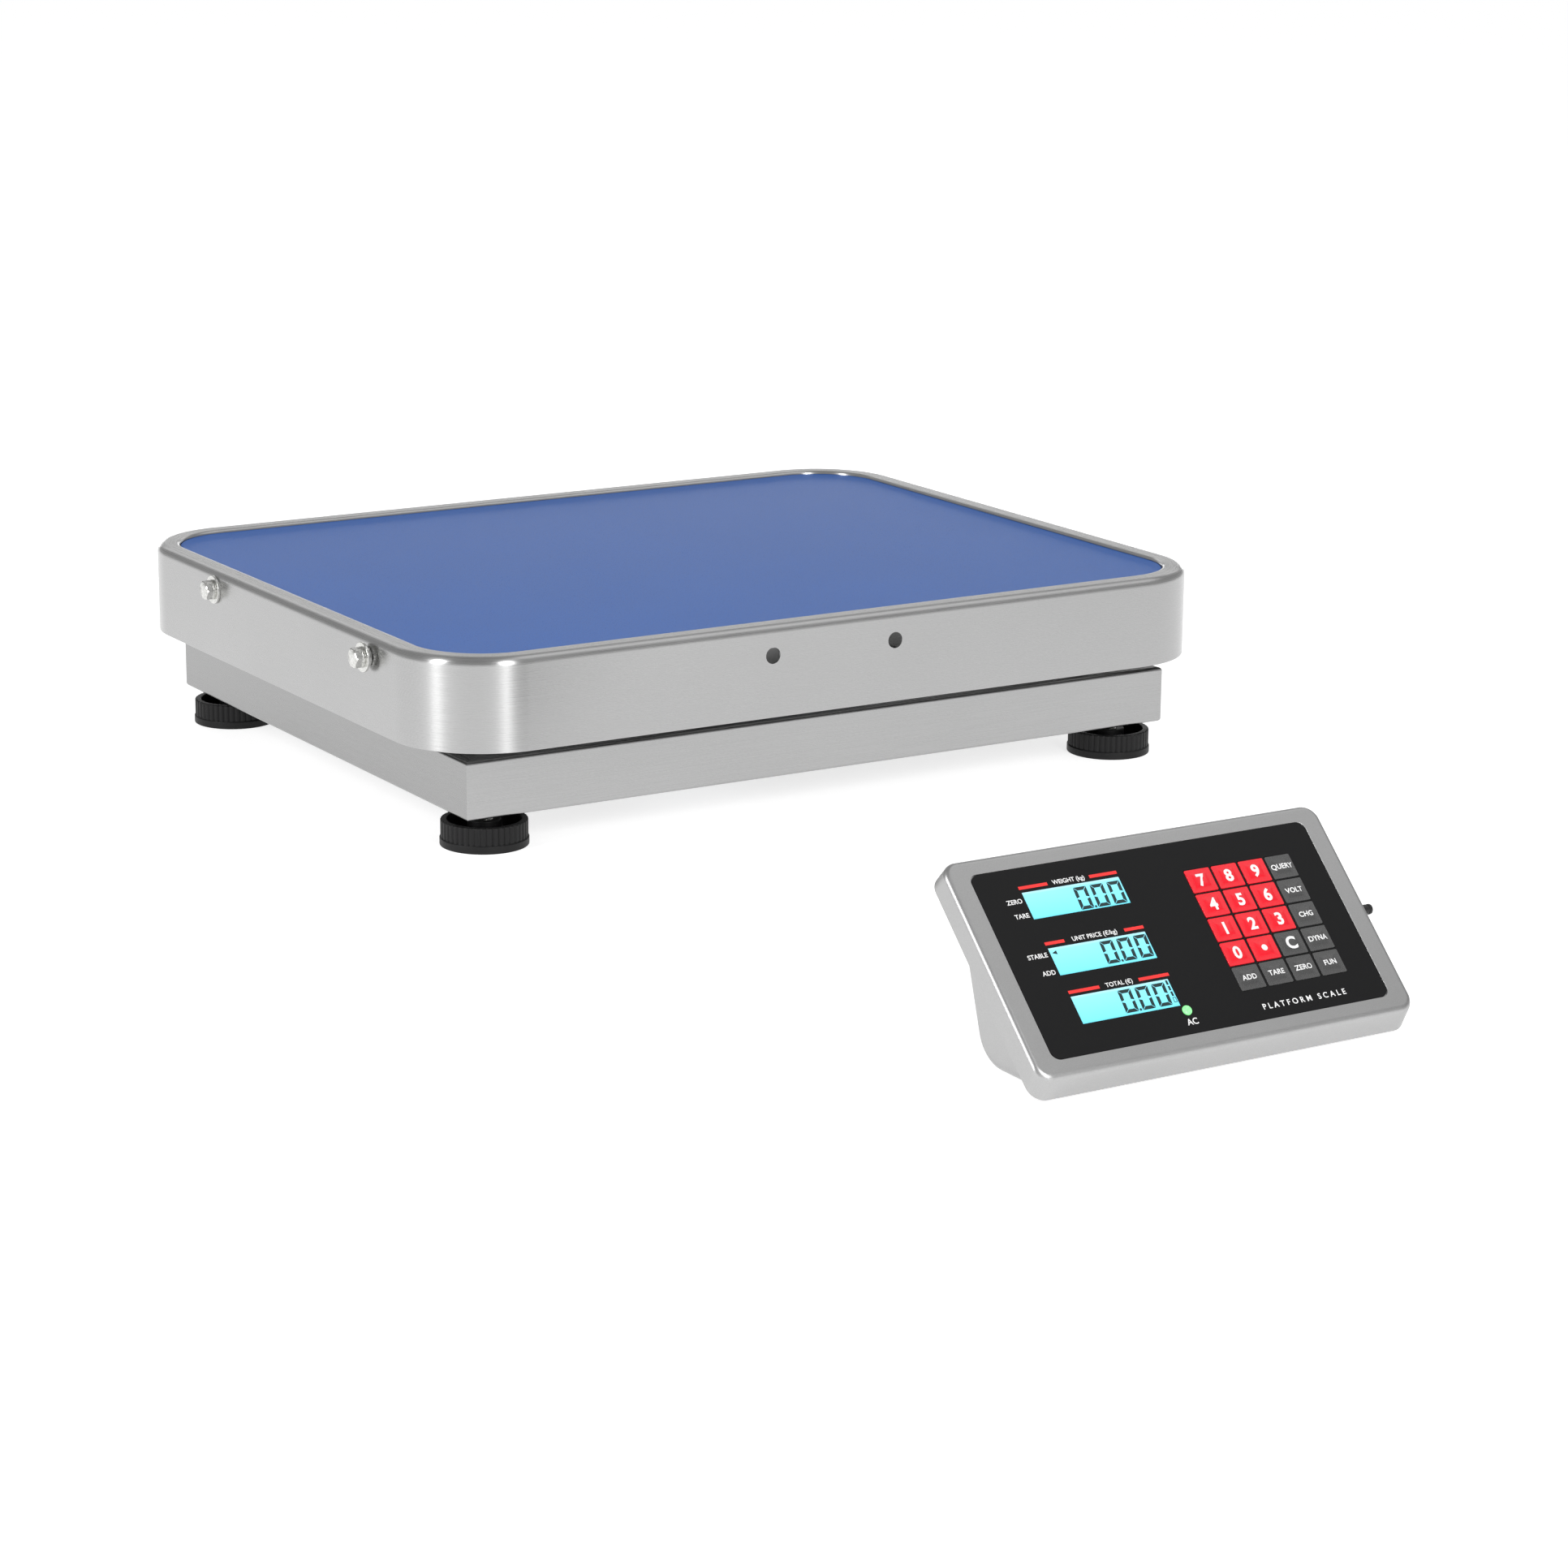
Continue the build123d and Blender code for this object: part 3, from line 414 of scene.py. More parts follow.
def linked(name, data):
    """A new object in the scene."""
    made = bpy.data.objects.new(name, data)
    bpy.context.scene.collection.objects.link(made)
    return made


def piece(name, body, skin, finishes, stands_for=()):
    """Makes the skin a mesh object in its finishes, which rides on the body and stands for the CAD nodes."""
    mesh = mesh_of(name, skin)
    layer = mesh.uv_layers.new(name="surface")
    layer.data.foreach_set("uv", np.concatenate([m.reshape(-1, 2) for m in skin.maps]).ravel())
    numbers = np.repeat(skin.finishes, [len(block) for block in skin.blocks])
    mesh.polygons.foreach_set("material_index", numbers)
    for material in finishes:
        mesh.materials.append(material)
    mesh.shade_smooth()
    mesh.set_sharp_from_angle(angle=SHARP)
    mesh.update()
    made = linked(name, mesh)
    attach(made, body)
    if stands_for:
        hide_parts(*stands_for)
    return made


def drill(target, holes):
    """Cuts the holes out of a piece with an exact Boolean and keeps the result as its mesh."""
    tools = [linked("hole", mesh_of("hole", hole)) for hole in holes]
    for tool in tools:
        cut = target.modifiers.new("hole", "BOOLEAN")
        cut.operation = "DIFFERENCE"
        cut.solver = "EXACT"
        cut.object = tool
    bpy.context.view_layer.update()
    result = bpy.data.meshes.new_from_object(target.evaluated_get(bpy.context.evaluated_depsgraph_get()))
    target.modifiers.clear()
    target.data = result
    result.set_sharp_from_angle(angle=SHARP)
    for tool in tools:
        bpy.data.objects.remove(tool)


def on_face(skin, origin=FACE):
    """The skin laid on the indicator's face, with its Z straight out of it."""
    return placed(skin, origin, RIGHT, FACE_UP)


def face_place(node):
    """The point of the face that lies over the middle of a CAD node."""
    middle = middle_of(node) - FACE
    return FACE + RIGHT * middle[0] + FACE_UP * (middle @ FACE_UP)


def rod(radius, start, end):
    """A plain round bar along Z, to cut a hole with."""
    return turned(np.full(2, radius), np.array((start, end)), 48)


def dress(material, *nodes):
    """Gives CAD nodes a finish."""
    for node in nodes:
        mesh = frame["nodes"][node].data
        mesh.materials.clear()
        mesh.materials.append(material)


# ---------------------------------------------------------------- finishes
TONE_STOPS = (0.32, 0.68)         # where a noise reaches its first and its second tone
NOISE_RANGE = (0.3, 0.7)          # values between which a noise mostly lies
BRUSH_TURN = 0.25                 # a quarter turn puts the highlight across the brushed lines


def shader_node(tree, kind, values=None, sources=None, **options):
    """A new shader node with its options set, some inputs given values and others linked to their sources."""
    node = tree.nodes.new("ShaderNode" + kind)
    for key, value in options.items():
        setattr(node, key, value)
    for key, value in (values or {}).items():
        node.inputs[key].default_value = value
    for key, source in (sources or {}).items():
        tree.links.new(source, node.inputs[key])
    return node


def ranged(tree, source, start, end, low, high):
    """A value that runs from low to high while its source runs from start to end."""
    values = {"From Min": start, "From Max": end, "To Min": low, "To Max": high}
    return shader_node(tree, "MapRange", values, {"Value": source}).outputs["Result"]


def shader_of(material):
    """A material's surface shader."""
    return material.node_tree.nodes["Principled BSDF"]


def finish(name, tones, grain, stretch=(1, 1, 1), roughness=(0.4, 0.5), metallic=0.0, relief=0.00002,
           bump=0.3, coordinates="Object", clouds=0.12, cloud_size=0.08, anisotropy=0.0, detail=2.0,
           specular=0.5):
    """A procedural finish. Fine noise of grain metres, drawn out by stretch, runs between the two tones and the
    two roughnesses and raises the relief. Broad clouds of cloud_size metres vary the colour a little."""
    material = bpy.data.materials.new(name)
    material.use_nodes = True
    tree, inputs = material.node_tree, shader_of(material).inputs
    inputs["Metallic"].default_value = metallic
    inputs["Anisotropic"].default_value = anisotropy
    inputs["Specular IOR Level"].default_value = specular
    place = shader_node(tree, "TexCoord").outputs[coordinates]
    drawn = shader_node(tree, "Mapping", {"Scale": [1 / (grain * s) for s in stretch]}, {"Vector": place})
    fine = shader_node(tree, "TexNoise", {"Scale": 1.0, "Detail": detail},
                       {"Vector": drawn.outputs["Vector"]}).outputs["Fac"]
    ramp = shader_node(tree, "ValToRGB", sources={"Fac": fine})
    for stop, position, tone in zip(ramp.color_ramp.elements, TONE_STOPS, tones):
        stop.position = position
        stop.color = (*tone, 1)
    broad = shader_node(tree, "TexNoise", {"Scale": 1 / cloud_size, "Detail": 3.0}, {"Vector": place})
    shade = ranged(tree, broad.outputs["Fac"], *NOISE_RANGE, 1 - clouds, 1.0)
    colour = shader_node(tree, "VectorMath", sources={0: ramp.outputs["Color"], "Scale": shade},
                         operation="SCALE")
    raised = shader_node(tree, "Bump", {"Strength": bump, "Distance": relief}, {"Height": fine})
    tree.links.new(colour.outputs["Vector"], inputs["Base Color"])
    tree.links.new(ranged(tree, fine, *NOISE_RANGE, *roughness), inputs["Roughness"])
    tree.links.new(raised.outputs["Normal"], inputs["Normal"])
    if anisotropy:
        tangent = shader_node(tree, "Tangent", direction_type="UV_MAP")
        inputs["Anisotropic Rotation"].default_value = BRUSH_TURN
        tree.links.new(tangent.outputs["Tangent"], inputs["Tangent"])
    return material


def made_once(make):
    """Lets several pieces share a finish: it is named after its function and made the first time only."""
    name = make.__name__.replace("_", " ")
    return lambda *colour: bpy.data.materials.get(name) or make(name, *colour)


def tones_of(colour, spread):
    """A darker and a lighter colour round one colour."""
    colour = np.array(colour)
    return tuple(colour * (1 - spread)), tuple(np.minimum(colour * (1 + spread), 1.0))


def brushed_steel(name, colour, along="X", coordinates="Object"):
    """Stainless steel with fine lines drawn along one axis."""
    stretch = {"X": (140, 1, 1), "Y": (1, 140, 1)}[along]
    return finish(name, tones_of(colour, 0.05), 0.3 * MM, stretch, roughness=(0.24, 0.34), metallic=1.0,
                  relief=0.000005, bump=0.15, coordinates=coordinates, clouds=0.04, cloud_size=0.12,
                  anisotropy=0.8 if coordinates == "UV" else 0.0)


def lit(material, colour, strength):
    """The finish with its own light."""
    inputs = shader_of(material).inputs
    inputs["Emission Color"].default_value = (*colour, 1)
    inputs["Emission Strength"].default_value = strength
    return material


@made_once
def black_rubber(name):
    """Moulded rubber."""
    return finish(name, (srgb(6, 6, 7), srgb(14, 14, 15)), 0.5 * MM, roughness=(0.42, 0.6), relief=0.00004,
                  specular=0.3)


@made_once
def zinc_plate(name):
    """Bright zinc on screws, washers and nuts."""
    return finish(name, ((0.55, 0.55, 0.53), (0.74, 0.74, 0.72)), 1.2 * MM, roughness=(0.2, 0.26), metallic=1.0,
                  relief=0.000003, bump=0.1, clouds=0.06, cloud_size=0.004)


@made_once
def black_plastic(name):
    """Moulded plastic."""
    return finish(name, (srgb(16, 16, 17), srgb(27, 27, 28)), 0.3 * MM, roughness=(0.35, 0.5))


@made_once
def satin_stainless(name, colour):
    """Bead-blasted stainless steel."""
    return finish(name, tones_of(colour, 0.07), 0.35 * MM, roughness=(0.34, 0.46), metallic=1.0,
                  relief=0.00002, bump=0.2, clouds=0.04)


@made_once
def white_ink(name, colour):
    """Printed white."""
    return finish(name, tones_of(colour, 0.04), 0.3 * MM, roughness=(0.45, 0.55))


# ---------------------------------------------------------------- operators
class SCALE_OT_pan(bpy.types.Operator):
    """Build the pressed stainless pan with its rolled rim, recess and bracket holes"""
    bl_idname = "scale.pan"
    bl_label = "Pan"

    def execute(self, context):
        s = context.scene.scale_pan
        length, width = (PAN_HIGH - PAN_LOW)[:2]
        rim = MAT_LOW[0] - PAN_LOW[0] - s.mat_gap
        top, foot, deck = PAN_HIGH[2], PAN_LOW[2], MAT_LOW[2]
        flat = rim + 6 * MM
        section = rounded_path(
            ((flat, deck), (rim, deck), (rim, top), (0, top), (0, foot), (s.sheet, foot),
             (s.sheet, top - s.sheet), (rim - s.sheet, top - s.sheet), (rim - s.sheet, deck - s.sheet),
             (flat, deck - s.sheet)),
            (0.3 * MM, s.inner_roll, s.outer_roll, 0.4 * MM, 0.4 * MM, s.outer_roll - s.sheet, 0.8 * MM,
             1.5 * MM), steps=10)
        skin = lofted(rim_rings(length, width, s.corner, section, 32))
        steel = brushed_steel("brushed stainless", s.steel, coordinates="UV")
        pan = piece("pan_shell", "pan", placed(skin, PAN_FOOT), [steel], ("pan",))
        mount = next(m for m in frame["record"]["mounts"] if m["name"] == "bracket_holes")
        spacing = mount["dims"]["spacing_x_mm"] * MM
        reach = 4 * MM
        drill(pan, [placed(rod(s.hole, -reach, reach), np.array(mount["pos_m"]) + RIGHT * side * spacing / 2,
                           RIGHT, UP) for side in (-1, 1)])
        return {"FINISHED"}


class SCALE_OT_mat(bpy.types.Operator):
    """Build the grained blue mat"""
    bl_idname = "scale.mat"
    bl_label = "Mat"

    def execute(self, context):
        s = context.scene.scale_mat
        length, width, _ = MAT_HIGH - MAT_LOW
        corner = context.scene.scale_pan.corner - (MAT_LOW[0] - PAN_LOW[0])
        flat = 4 * MM
        section = rounded_path(((flat, MAT_LOW[2]), (0, MAT_LOW[2]), (0, MAT_HIGH[2]), (flat, MAT_HIGH[2])),
                               (0.2 * MM, s.edge))
        skin = lofted(rim_rings(length, width, corner, section, 24))
        grain = finish("grained mat", (tuple(s.dark), tuple(s.light)), 0.4 * MM, roughness=(0.27, 0.34),
                       relief=0.00004, bump=0.3, clouds=0.04, detail=4.0, specular=0.06)
        piece("mat_sheet", "pan", placed(skin, PAN_FOOT), [grain], ("mat",))
        return {"FINISHED"}


SCREW_RADIUS = 3 * MM             # M6
SCREW_PITCH = 1 * MM
SCREW_BORE = 3.05 * MM            # hole of its washers and nuts
SCREW_FLATS = 10 * MM             # across its head and its nuts
SCREW_HEAD, SCREW_NUT, THIN_NUT = 4 * MM, 5 * MM, 2.8 * MM
SCREW_REACH = 10 * MM             # how far it stands past the skirt's inside
FLAT_WASHER, SPRING_WASHER = 1.5 * MM, 1.4 * MM
FLAT_WASHER_RADIUS, SPRING_WASHER_RADIUS = 8.1 * MM, 5.6 * MM


class SCALE_OT_side_fasteners(bpy.types.Operator):
    """Build the two M6 screws on the left of the skirt with their washers and nuts"""
    bl_idname = "scale.side_fasteners"
    bl_label = "Side fasteners"

    def execute(self, context):
        low, high = box("side_washers")
        sheet = context.scene.scale_pan.sheet
        bolts, washers, nuts = [], [], []
        for y, standoff in ((high[1] - FLAT_WASHER_RADIUS, 0.0), (low[1] + FLAT_WASHER_RADIUS, THIN_NUT)):
            origin = np.array((PAN_LOW[0], y, (low + high)[2] / 2))

            def out(skin, distance):
                """The skin that far out from the skirt, with its Z straight out."""
                return placed(skin, origin - RIGHT * distance, -BACK, UP)

            def nut(height):
                """A nut turned at both ends."""
                return hexagonal(SCREW_FLATS, height, SCREW_BORE, both_ends=True)

            under_head = standoff + FLAT_WASHER + SPRING_WASHER
            shank = under_head + sheet + SCREW_REACH
            bolts.append(out(hexagonal(SCREW_FLATS, SCREW_HEAD), under_head))
            bolts.append(out(threaded(SCREW_RADIUS, SCREW_PITCH, shank, 0.6 * MM), under_head - shank))
            washers.append(out(washer(SCREW_BORE, FLAT_WASHER_RADIUS, FLAT_WASHER, 0.3 * MM), standoff))
            washers.append(out(split_washer(SCREW_BORE, SPRING_WASHER_RADIUS, SPRING_WASHER, 1 * MM),
                               standoff + FLAT_WASHER))
            nuts.append(out(nut(SCREW_NUT), -sheet - SCREW_NUT))
            if standoff:
                nuts.append(out(nut(THIN_NUT), 0.0))
        for name, skins, node in (("side_screws", bolts, "side_bolts"),
                                  ("side_washer_stack", washers, "side_washers"),
                                  ("side_screw_nuts", nuts, "side_nuts")):
            piece(name, "pan", joined(skins), [zinc_plate()], (node,))
        return {"FINISHED"}


FRAME_SHADE = 0.88                # the tubes' steel against the pan's
SIDE_TUBE_PAINTED_SHADE = 0.84            # painted shade: the side tubes' steel, darkened against the other tubes'


class SCALE_OT_frame(bpy.types.Operator):
    """Finish the base frame, its beam and its cable gland"""
    bl_idname = "scale.frame"
    bl_label = "Base frame"

    def execute(self, context):
        steel = np.array(context.scene.scale_pan.steel) * FRAME_SHADE
        dress(brushed_steel("brushed tube across", steel, "X"), "frame_front_tube", "frame_rear_tube")
        # the side tubes get a darker copy of the same steel: painted shade
        dress(brushed_steel("brushed tube along, painted shade", steel * SIDE_TUBE_PAINTED_SHADE, "Y"), "frame_left_tube",
              "frame_right_tube")
        coated = finish("grey powder coat", (srgb(112, 114, 117), srgb(138, 140, 143)), 0.6 * MM,
                        roughness=(0.5, 0.65), relief=0.00005)
        dress(coated, "frame_cross_beam", "carrier_arms", "carrier_cross_plate")
        dress(zinc_plate(), "foot_inserts", "load_cell_spacers", "load_cell_bolts", "overload_stops")
        dress(finish("milled aluminium", ((0.62, 0.63, 0.64), (0.76, 0.77, 0.78)), 0.5 * MM, (40, 1, 1),
                     roughness=(0.25, 0.4), metallic=1.0), "load_cell")
        dress(black_rubber(), "pan_rest_pads")
        dress(black_plastic(), "cable_gland")
        return {"FINISHED"}


FOOT_FLOOR = 4 * MM               # thickness of a foot's base
FOOT_BORE = 5.1 * MM              # socket of the screw in the hub
STUD_RADIUS = 5 * MM              # M10
STUD_TAPER = 1 * MM
RIB_STEPS = 8                     # columns from one rib to the next


class SCALE_OT_feet(bpy.types.Operator):
    """Build the four ribbed levelling feet and their threaded screws"""
    bl_idname = "scale.feet"
    bl_label = "Levelling feet"

    def execute(self, context):
        s = context.scene.scale_feet
        for number in range(1, 5):
            low, high = box(f"foot_pad_{number}")
            centre = (low + high) / 2 * (1, 1, 0)
            outer, height = (high - low)[0] / 2, high[2]
            ribbed, inner = outer - s.lip, outer - s.lip - s.wall
            section = rounded_path(
                ((2 * MM, 0), (outer, 0), (outer, s.lip_height), (ribbed, s.lip_height + 0.6 * MM),
                 (ribbed, height), (inner, height), (inner, FOOT_FLOOR), (s.hub, FOOT_FLOOR), (s.hub, height),
                 (FOOT_BORE, height), (FOOT_BORE, FOOT_FLOOR), (1 * MM, FOOT_FLOOR)),
                np.array((0.5, 0.4, 0.4, 0.7, 0.5, 1.2, 1.2, 0.6, 0.4, 0.3)) * MM, steps=4)
            radius, lift = section[:, :1], section[:, 1]
            columns = s.ribs * RIB_STEPS
            groove = (0.5 + 0.5 * np.cos(2 * pi * np.arange(columns) / RIB_STEPS)) ** 3
            on_wall = (radius > ribbed - s.wall / 2) & (lift[:, None] > s.lip_height + 0.5 * MM)
            pad = turned(radius - s.groove * groove[None] * on_wall, lift, columns)
            piece(f"foot_{number}", f"foot_{number}_pad", placed(pad, centre), [black_rubber()],
                  (f"foot_pad_{number}",))
            low, high = box(f"foot_stud_{number}")
            stud = threaded(STUD_RADIUS, s.pitch, high[2] - low[2], STUD_TAPER)
            piece(f"foot_screw_{number}", f"foot_{number}_screw", placed(stud, centre + UP * low[2]),
                  [zinc_plate()], (f"foot_stud_{number}",))
        return {"FINISHED"}


OVERLAY_HEIGHT = 94.6 * MM        # up the face
SEAT_GAP = 0.25 * MM              # round the overlay
SEAT_LEDGE = 3.5 * MM             # width of the ledge that it lies on
SEAT_CORNERS = (4.5 * MM, 1.5 * MM)     # radius at the ledge's outer and inner edge
BUTTON_HOLE = 2.8 * MM            # radius


class SCALE_OT_bezel(bpy.types.Operator):
    """Build the indicator's satin steel bezel with its rolled edge and the seat of the overlay"""
    bl_idname = "scale.bezel"
    bl_label = "Bezel"

    def execute(self, context):
        s = context.scene.scale_indicator
        sheet = context.scene.scale_pan.sheet
        seat = OVERLAY_SUNK + OVERLAY_THICKNESS
        opening = np.array((OVERLAY_HIGH[0] - OVERLAY_LOW[0], OVERLAY_HEIGHT)) + 2 * SEAT_GAP
        side, end = (np.array((s.width, s.height)) - opening) / 2
        inner = side + SEAT_LEDGE
        section = rounded_path(
            ((0, -s.depth), (0, 0), (side, 0), (side, -seat), (inner, -seat), (inner, -seat - sheet),
             (side - sheet, -seat - sheet), (side - sheet, -sheet), (sheet, -sheet), (sheet, -s.depth)),
            np.array((0.4, s.edge / MM, 0.2, 0.1, 0.3, 0.3, 0.3, 0.2, 1.3, 0.4)) * MM, steps=8, closed=True)
        inset, depth = section[:, :1], section[:, 1:]
        insets = (0, s.edge, side, inner)
        end_inset = np.interp(inset, insets, (0, s.edge, end, end + SEAT_LEDGE))
        corner = np.interp(inset, insets, (s.corner, s.corner - s.edge, *SEAT_CORNERS))
        lean = s.flare * -depth / s.depth
        flat = rounded_rectangle(s.width - 2 * inset, s.height + lean - 2 * end_inset, corner, 16)
        flat[..., 1] -= lean / 2
        rings = np.dstack((flat, np.broadcast_to(depth, flat.shape[:2])))
        bezel = piece("bezel_shell", "indicator", on_face(lofted(rings, closed=True)),
                      [satin_stainless(s.steel)], ("bezel",))
        reach = 3 * MM
        hole = np.array((FACE[0] + s.width / 2, *middle_of("power_button")[1:]))
        drill(bezel, [placed(rod(BUTTON_HOLE, -reach, reach), hole, BACK, UP)])
        return {"FINISHED"}


# words, middle or end of the words across and up the face in millimetres, height of the capitals, anchor
PANEL_WORDS = (
    ("WEIGHT (kg)", -44.4, 37.5, 2.1, 0.5),
    ("UNIT PRICE (€/kg)", -44.4, 8.4, 2.1, 0.5),
    ("TOTAL (€)", -43.6, -16.7, 2.1, 0.5),
    ("ZERO", -72.6, 31.0, 2.2, 1.0),
    ("TARE", -72.4, 23.5, 2.2, 1.0),
    ("STABLE", -72.6, 2.9, 2.2, 1.0),
    ("ADD", -72.6, -6.0, 2.2, 1.0),
    ("AC", -15.9, -41.6, 3.0, 0.5),
)
# left end, right end and height up the face of each red bar, in millimetres
PANEL_BARS = (
    (-71.5, -55.9, 37.3), (-33.0, -17.9, 37.3),
    (-71.4, -60.9, 8.2), (-28.2, -17.6, 8.2),
    (-71.0, -54.3, -16.9), (-32.9, -16.4, -16.9),
)
BAR_HEIGHT = 1.6 * MM
INK_LIFT = -OVERLAY_SUNK + 0.01 * MM


class SCALE_OT_overlay(bpy.types.Operator):
    """Finish the black overlay and print its words and bars"""
    bl_idname = "scale.overlay"
    bl_label = "Overlay"

    def execute(self, context):
        s = context.scene.scale_indicator
        dress(finish("overlay film", (srgb(8, 8, 9), srgb(15, 15, 16)), 0.25 * MM, roughness=(0.38, 0.52),
                     relief=0.00003, clouds=0.08, specular=0.2), "overlay")
        words = [placed(lettering(text, size * MM, 0.05 * MM, anchor=anchor),
                        np.array((x * MM, y * MM, INK_LIFT))) for text, x, y, size, anchor in PANEL_WORDS]
        words.append(placed(lettering("PLATFORM SCALE", 2.7 * MM, 0.06 * MM, spacing=1.6),
                            np.array((47.3 * MM, -41.2 * MM, INK_LIFT))))
        piece("panel_words", "indicator", on_face(joined(words)), [white_ink(s.white)])
        bars = [rounded_rectangle((right - left) * MM, BAR_HEIGHT, 0.15 * MM, 3)
                + ((left + right) / 2 * MM, y * MM) for left, right, y in PANEL_BARS]
        red = finish("red ink", tones_of(srgb(240, 46, 44), 0.06), 0.3 * MM, roughness=(0.4, 0.5))
        piece("panel_bars", "indicator", on_face(slabs(bars, INK_LIFT, INK_LIFT + LETTER_THICKNESS)), [red])
        return {"FINISHED"}


DISPLAY_SIZE = np.array((53.2, 14.1)) * MM
DISPLAY_X = -44.3 * MM
# height up the face of each display, right end of its digits from its right edge and their foot from its lower edge
DISPLAYS = ((28.1, 1.3, 0.8), (-1.0, 1.0, 1.4), (-25.9, 3.6, 1.3))
DIGIT = np.array((7.0, 11.5)) * MM
DIGIT_PITCH = 9.2 * MM
STROKE = 1.7 * MM
STROKE_GAP = 0.18 * MM
SLANT = 0.05
GLASS_DEPTH = 4.9 * MM            # underside of the glass below the face
# signs in millimetres: the decimal point from the foot of its gap, the arrow from the upper left of the second
# display, and the gauge's bar and its frame's four sides from the upper right of the third
POINT = np.array(((-0.55, 0), (0.55, 0), (0.55, 1.1), (-0.55, 1.1))) * MM
ARROW = np.array(((1.3, -2.6), (3.9, -3.6), (3.9, -3.5), (3.9, -1.6))) * MM
GAUGE_BAR = np.array(((-1.9, -2.9), (-0.8, -2.9), (-0.8, -0.6), (-1.9, -0.6))) * MM
GAUGE_PITCH = 2.9 * MM
GAUGE_FRAME = np.array((((-2.2, -11.9), (-0.5, -11.9), (-0.5, -11.6), (-2.2, -11.6)),
                        ((-2.2, -9.6), (-0.5, -9.6), (-0.5, -9.3), (-2.2, -9.3)),
                        ((-2.2, -11.6), (-1.9, -11.6), (-1.9, -9.6), (-2.2, -9.6)),
                        ((-0.8, -11.6), (-0.5, -11.6), (-0.5, -9.6), (-0.8, -9.6)))) * MM
# place up a display and colour of its light there
BACKLIGHT = ((0.0, (90, 222, 240)), (0.1, (125, 234, 252)), (0.9, (172, 243, 255)), (1.0, (40, 226, 226)))


def zero_digit():
    """The six lit bars of a 0: each side of a frame is cut on its slanted ends, and the uprights are in two
    halves."""
    w, h, t, g = *DIGIT, STROKE, STROKE_GAP
    top = ((g, h), (w - g, h), (w - t - g, h - t), (t + g, h - t))
    left = ((0, h - g), (0, h / 2 + g), (t, h / 2 + g + t / 3), (t, h - t - g))
    bars = np.array((top, left))
    bars = np.concatenate((bars, (0, h) + bars * (1, -1)))
    right = (w, 0) + bars[(1, 3), :] * (-1, 1)
    return np.concatenate((bars, right))


def slanted(outlines):
    """Outlines leaning to the right, in proportion to their height."""
    return outlines + outlines[..., 1:] * (SLANT, 0)


class SCALE_OT_displays(bpy.types.Operator):
    """Build the three lit displays with their digits and signs"""
    bl_idname = "scale.displays"
    bl_label = "Displays"

    def execute(self, context):
        s = context.scene.scale_indicator
        glass_top = -OVERLAY_SUNK - OVERLAY_THICKNESS * 0.7
        glass, signs, uppers = [], [], []
        digit = zero_digit()
        half = DISPLAY_SIZE / 2
        for y, right_gap, foot_gap in DISPLAYS:
            middle = np.array((DISPLAY_X, y * MM))
            outline = rounded_rectangle(*(DISPLAY_SIZE - 0.1 * MM), 0.2 * MM, 3)
            glass.append(placed(slabs([outline], -GLASS_DEPTH, glass_top), np.append(middle, 0)))
            uppers.append(middle + half * (0, 1))
            first = middle[0] + half[0] - right_gap * MM - DIGIT[0]
            foot = middle[1] - half[1] + foot_gap * MM
            signs += [slanted(digit) + (first - place * DIGIT_PITCH, foot) for place in range(3)]
            signs.append(POINT[None] + (first - DIGIT_PITCH - (DIGIT_PITCH - DIGIT[0]) / 2, foot))
        signs.append(ARROW[None] + uppers[1] - (half[0], 0))
        corner = uppers[2] + (half[0], 0)
        signs += [GAUGE_BAR[None] + corner - (0, GAUGE_PITCH * step) for step in range(3)]
        signs.append(GAUGE_FRAME + corner)
        piece("displays", "indicator", on_face(joined(glass)), [lit_glass(s.backlight)],
              ("lcd_modules",))
        ink = finish("display ink", tones_of(s.ink, 0.1), 0.4 * MM, roughness=(0.3, 0.4))
        marks = slabs(np.concatenate(signs), glass_top + 0.01 * MM, glass_top + 0.05 * MM)
        piece("display_digits", "indicator", on_face(marks), [ink])
        return {"FINISHED"}


def lit_glass(colour):
    """Backlit glass: brighter along the top edge where the lamps are, with faint clouds."""
    material = finish("backlit glass", tones_of(colour, 0.03), 6 * MM, roughness=(0.12, 0.2), clouds=0.1,
                      cloud_size=0.02, coordinates="UV")
    tree, inputs = material.node_tree, shader_of(material).inputs
    parts = shader_node(tree, "SeparateXYZ", sources={"Vector": shader_node(tree, "TexCoord").outputs["UV"]})
    height = ranged(tree, parts.outputs["Y"], -DISPLAY_SIZE[1] / 2, DISPLAY_SIZE[1] / 2, 0.0, 1.0)
    glow = shader_node(tree, "ValToRGB", sources={"Fac": height})
    for position, shade in BACKLIGHT:
        stop = glow.color_ramp.elements.new(position)
        stop.color = (*srgb(*shade), 1)
    glow.color_ramp.elements.remove(glow.color_ramp.elements[0])
    tree.links.new(glow.outputs["Color"], inputs["Emission Color"])
    inputs["Emission Strength"].default_value = 0.5
    return material


class SCALE_OT_lamp(bpy.types.Operator):
    """Build the green mains lamp"""
    bl_idname = "scale.lamp"
    bl_label = "Mains lamp"

    def execute(self, context):
        radius, proud = 2.4 * MM, 0.9 * MM
        section = rounded_path(((1 * MM, -GLASS_DEPTH), (radius, -GLASS_DEPTH), (radius, proud),
                                (0.2 * MM, proud)), (0.2 * MM, proud * 0.95), steps=10)
        lens = turned(*section.T, 48)
        glow = lit(finish("green lens", (srgb(118, 214, 128), srgb(150, 236, 158)), 0.8 * MM,
                          roughness=(0.2, 0.3)), srgb(120, 235, 135), 0.5)
        piece("mains_lamp", "indicator", on_face(lens, face_place("status_led")), [glow],
              ("status_led",))
        return {"FINISHED"}


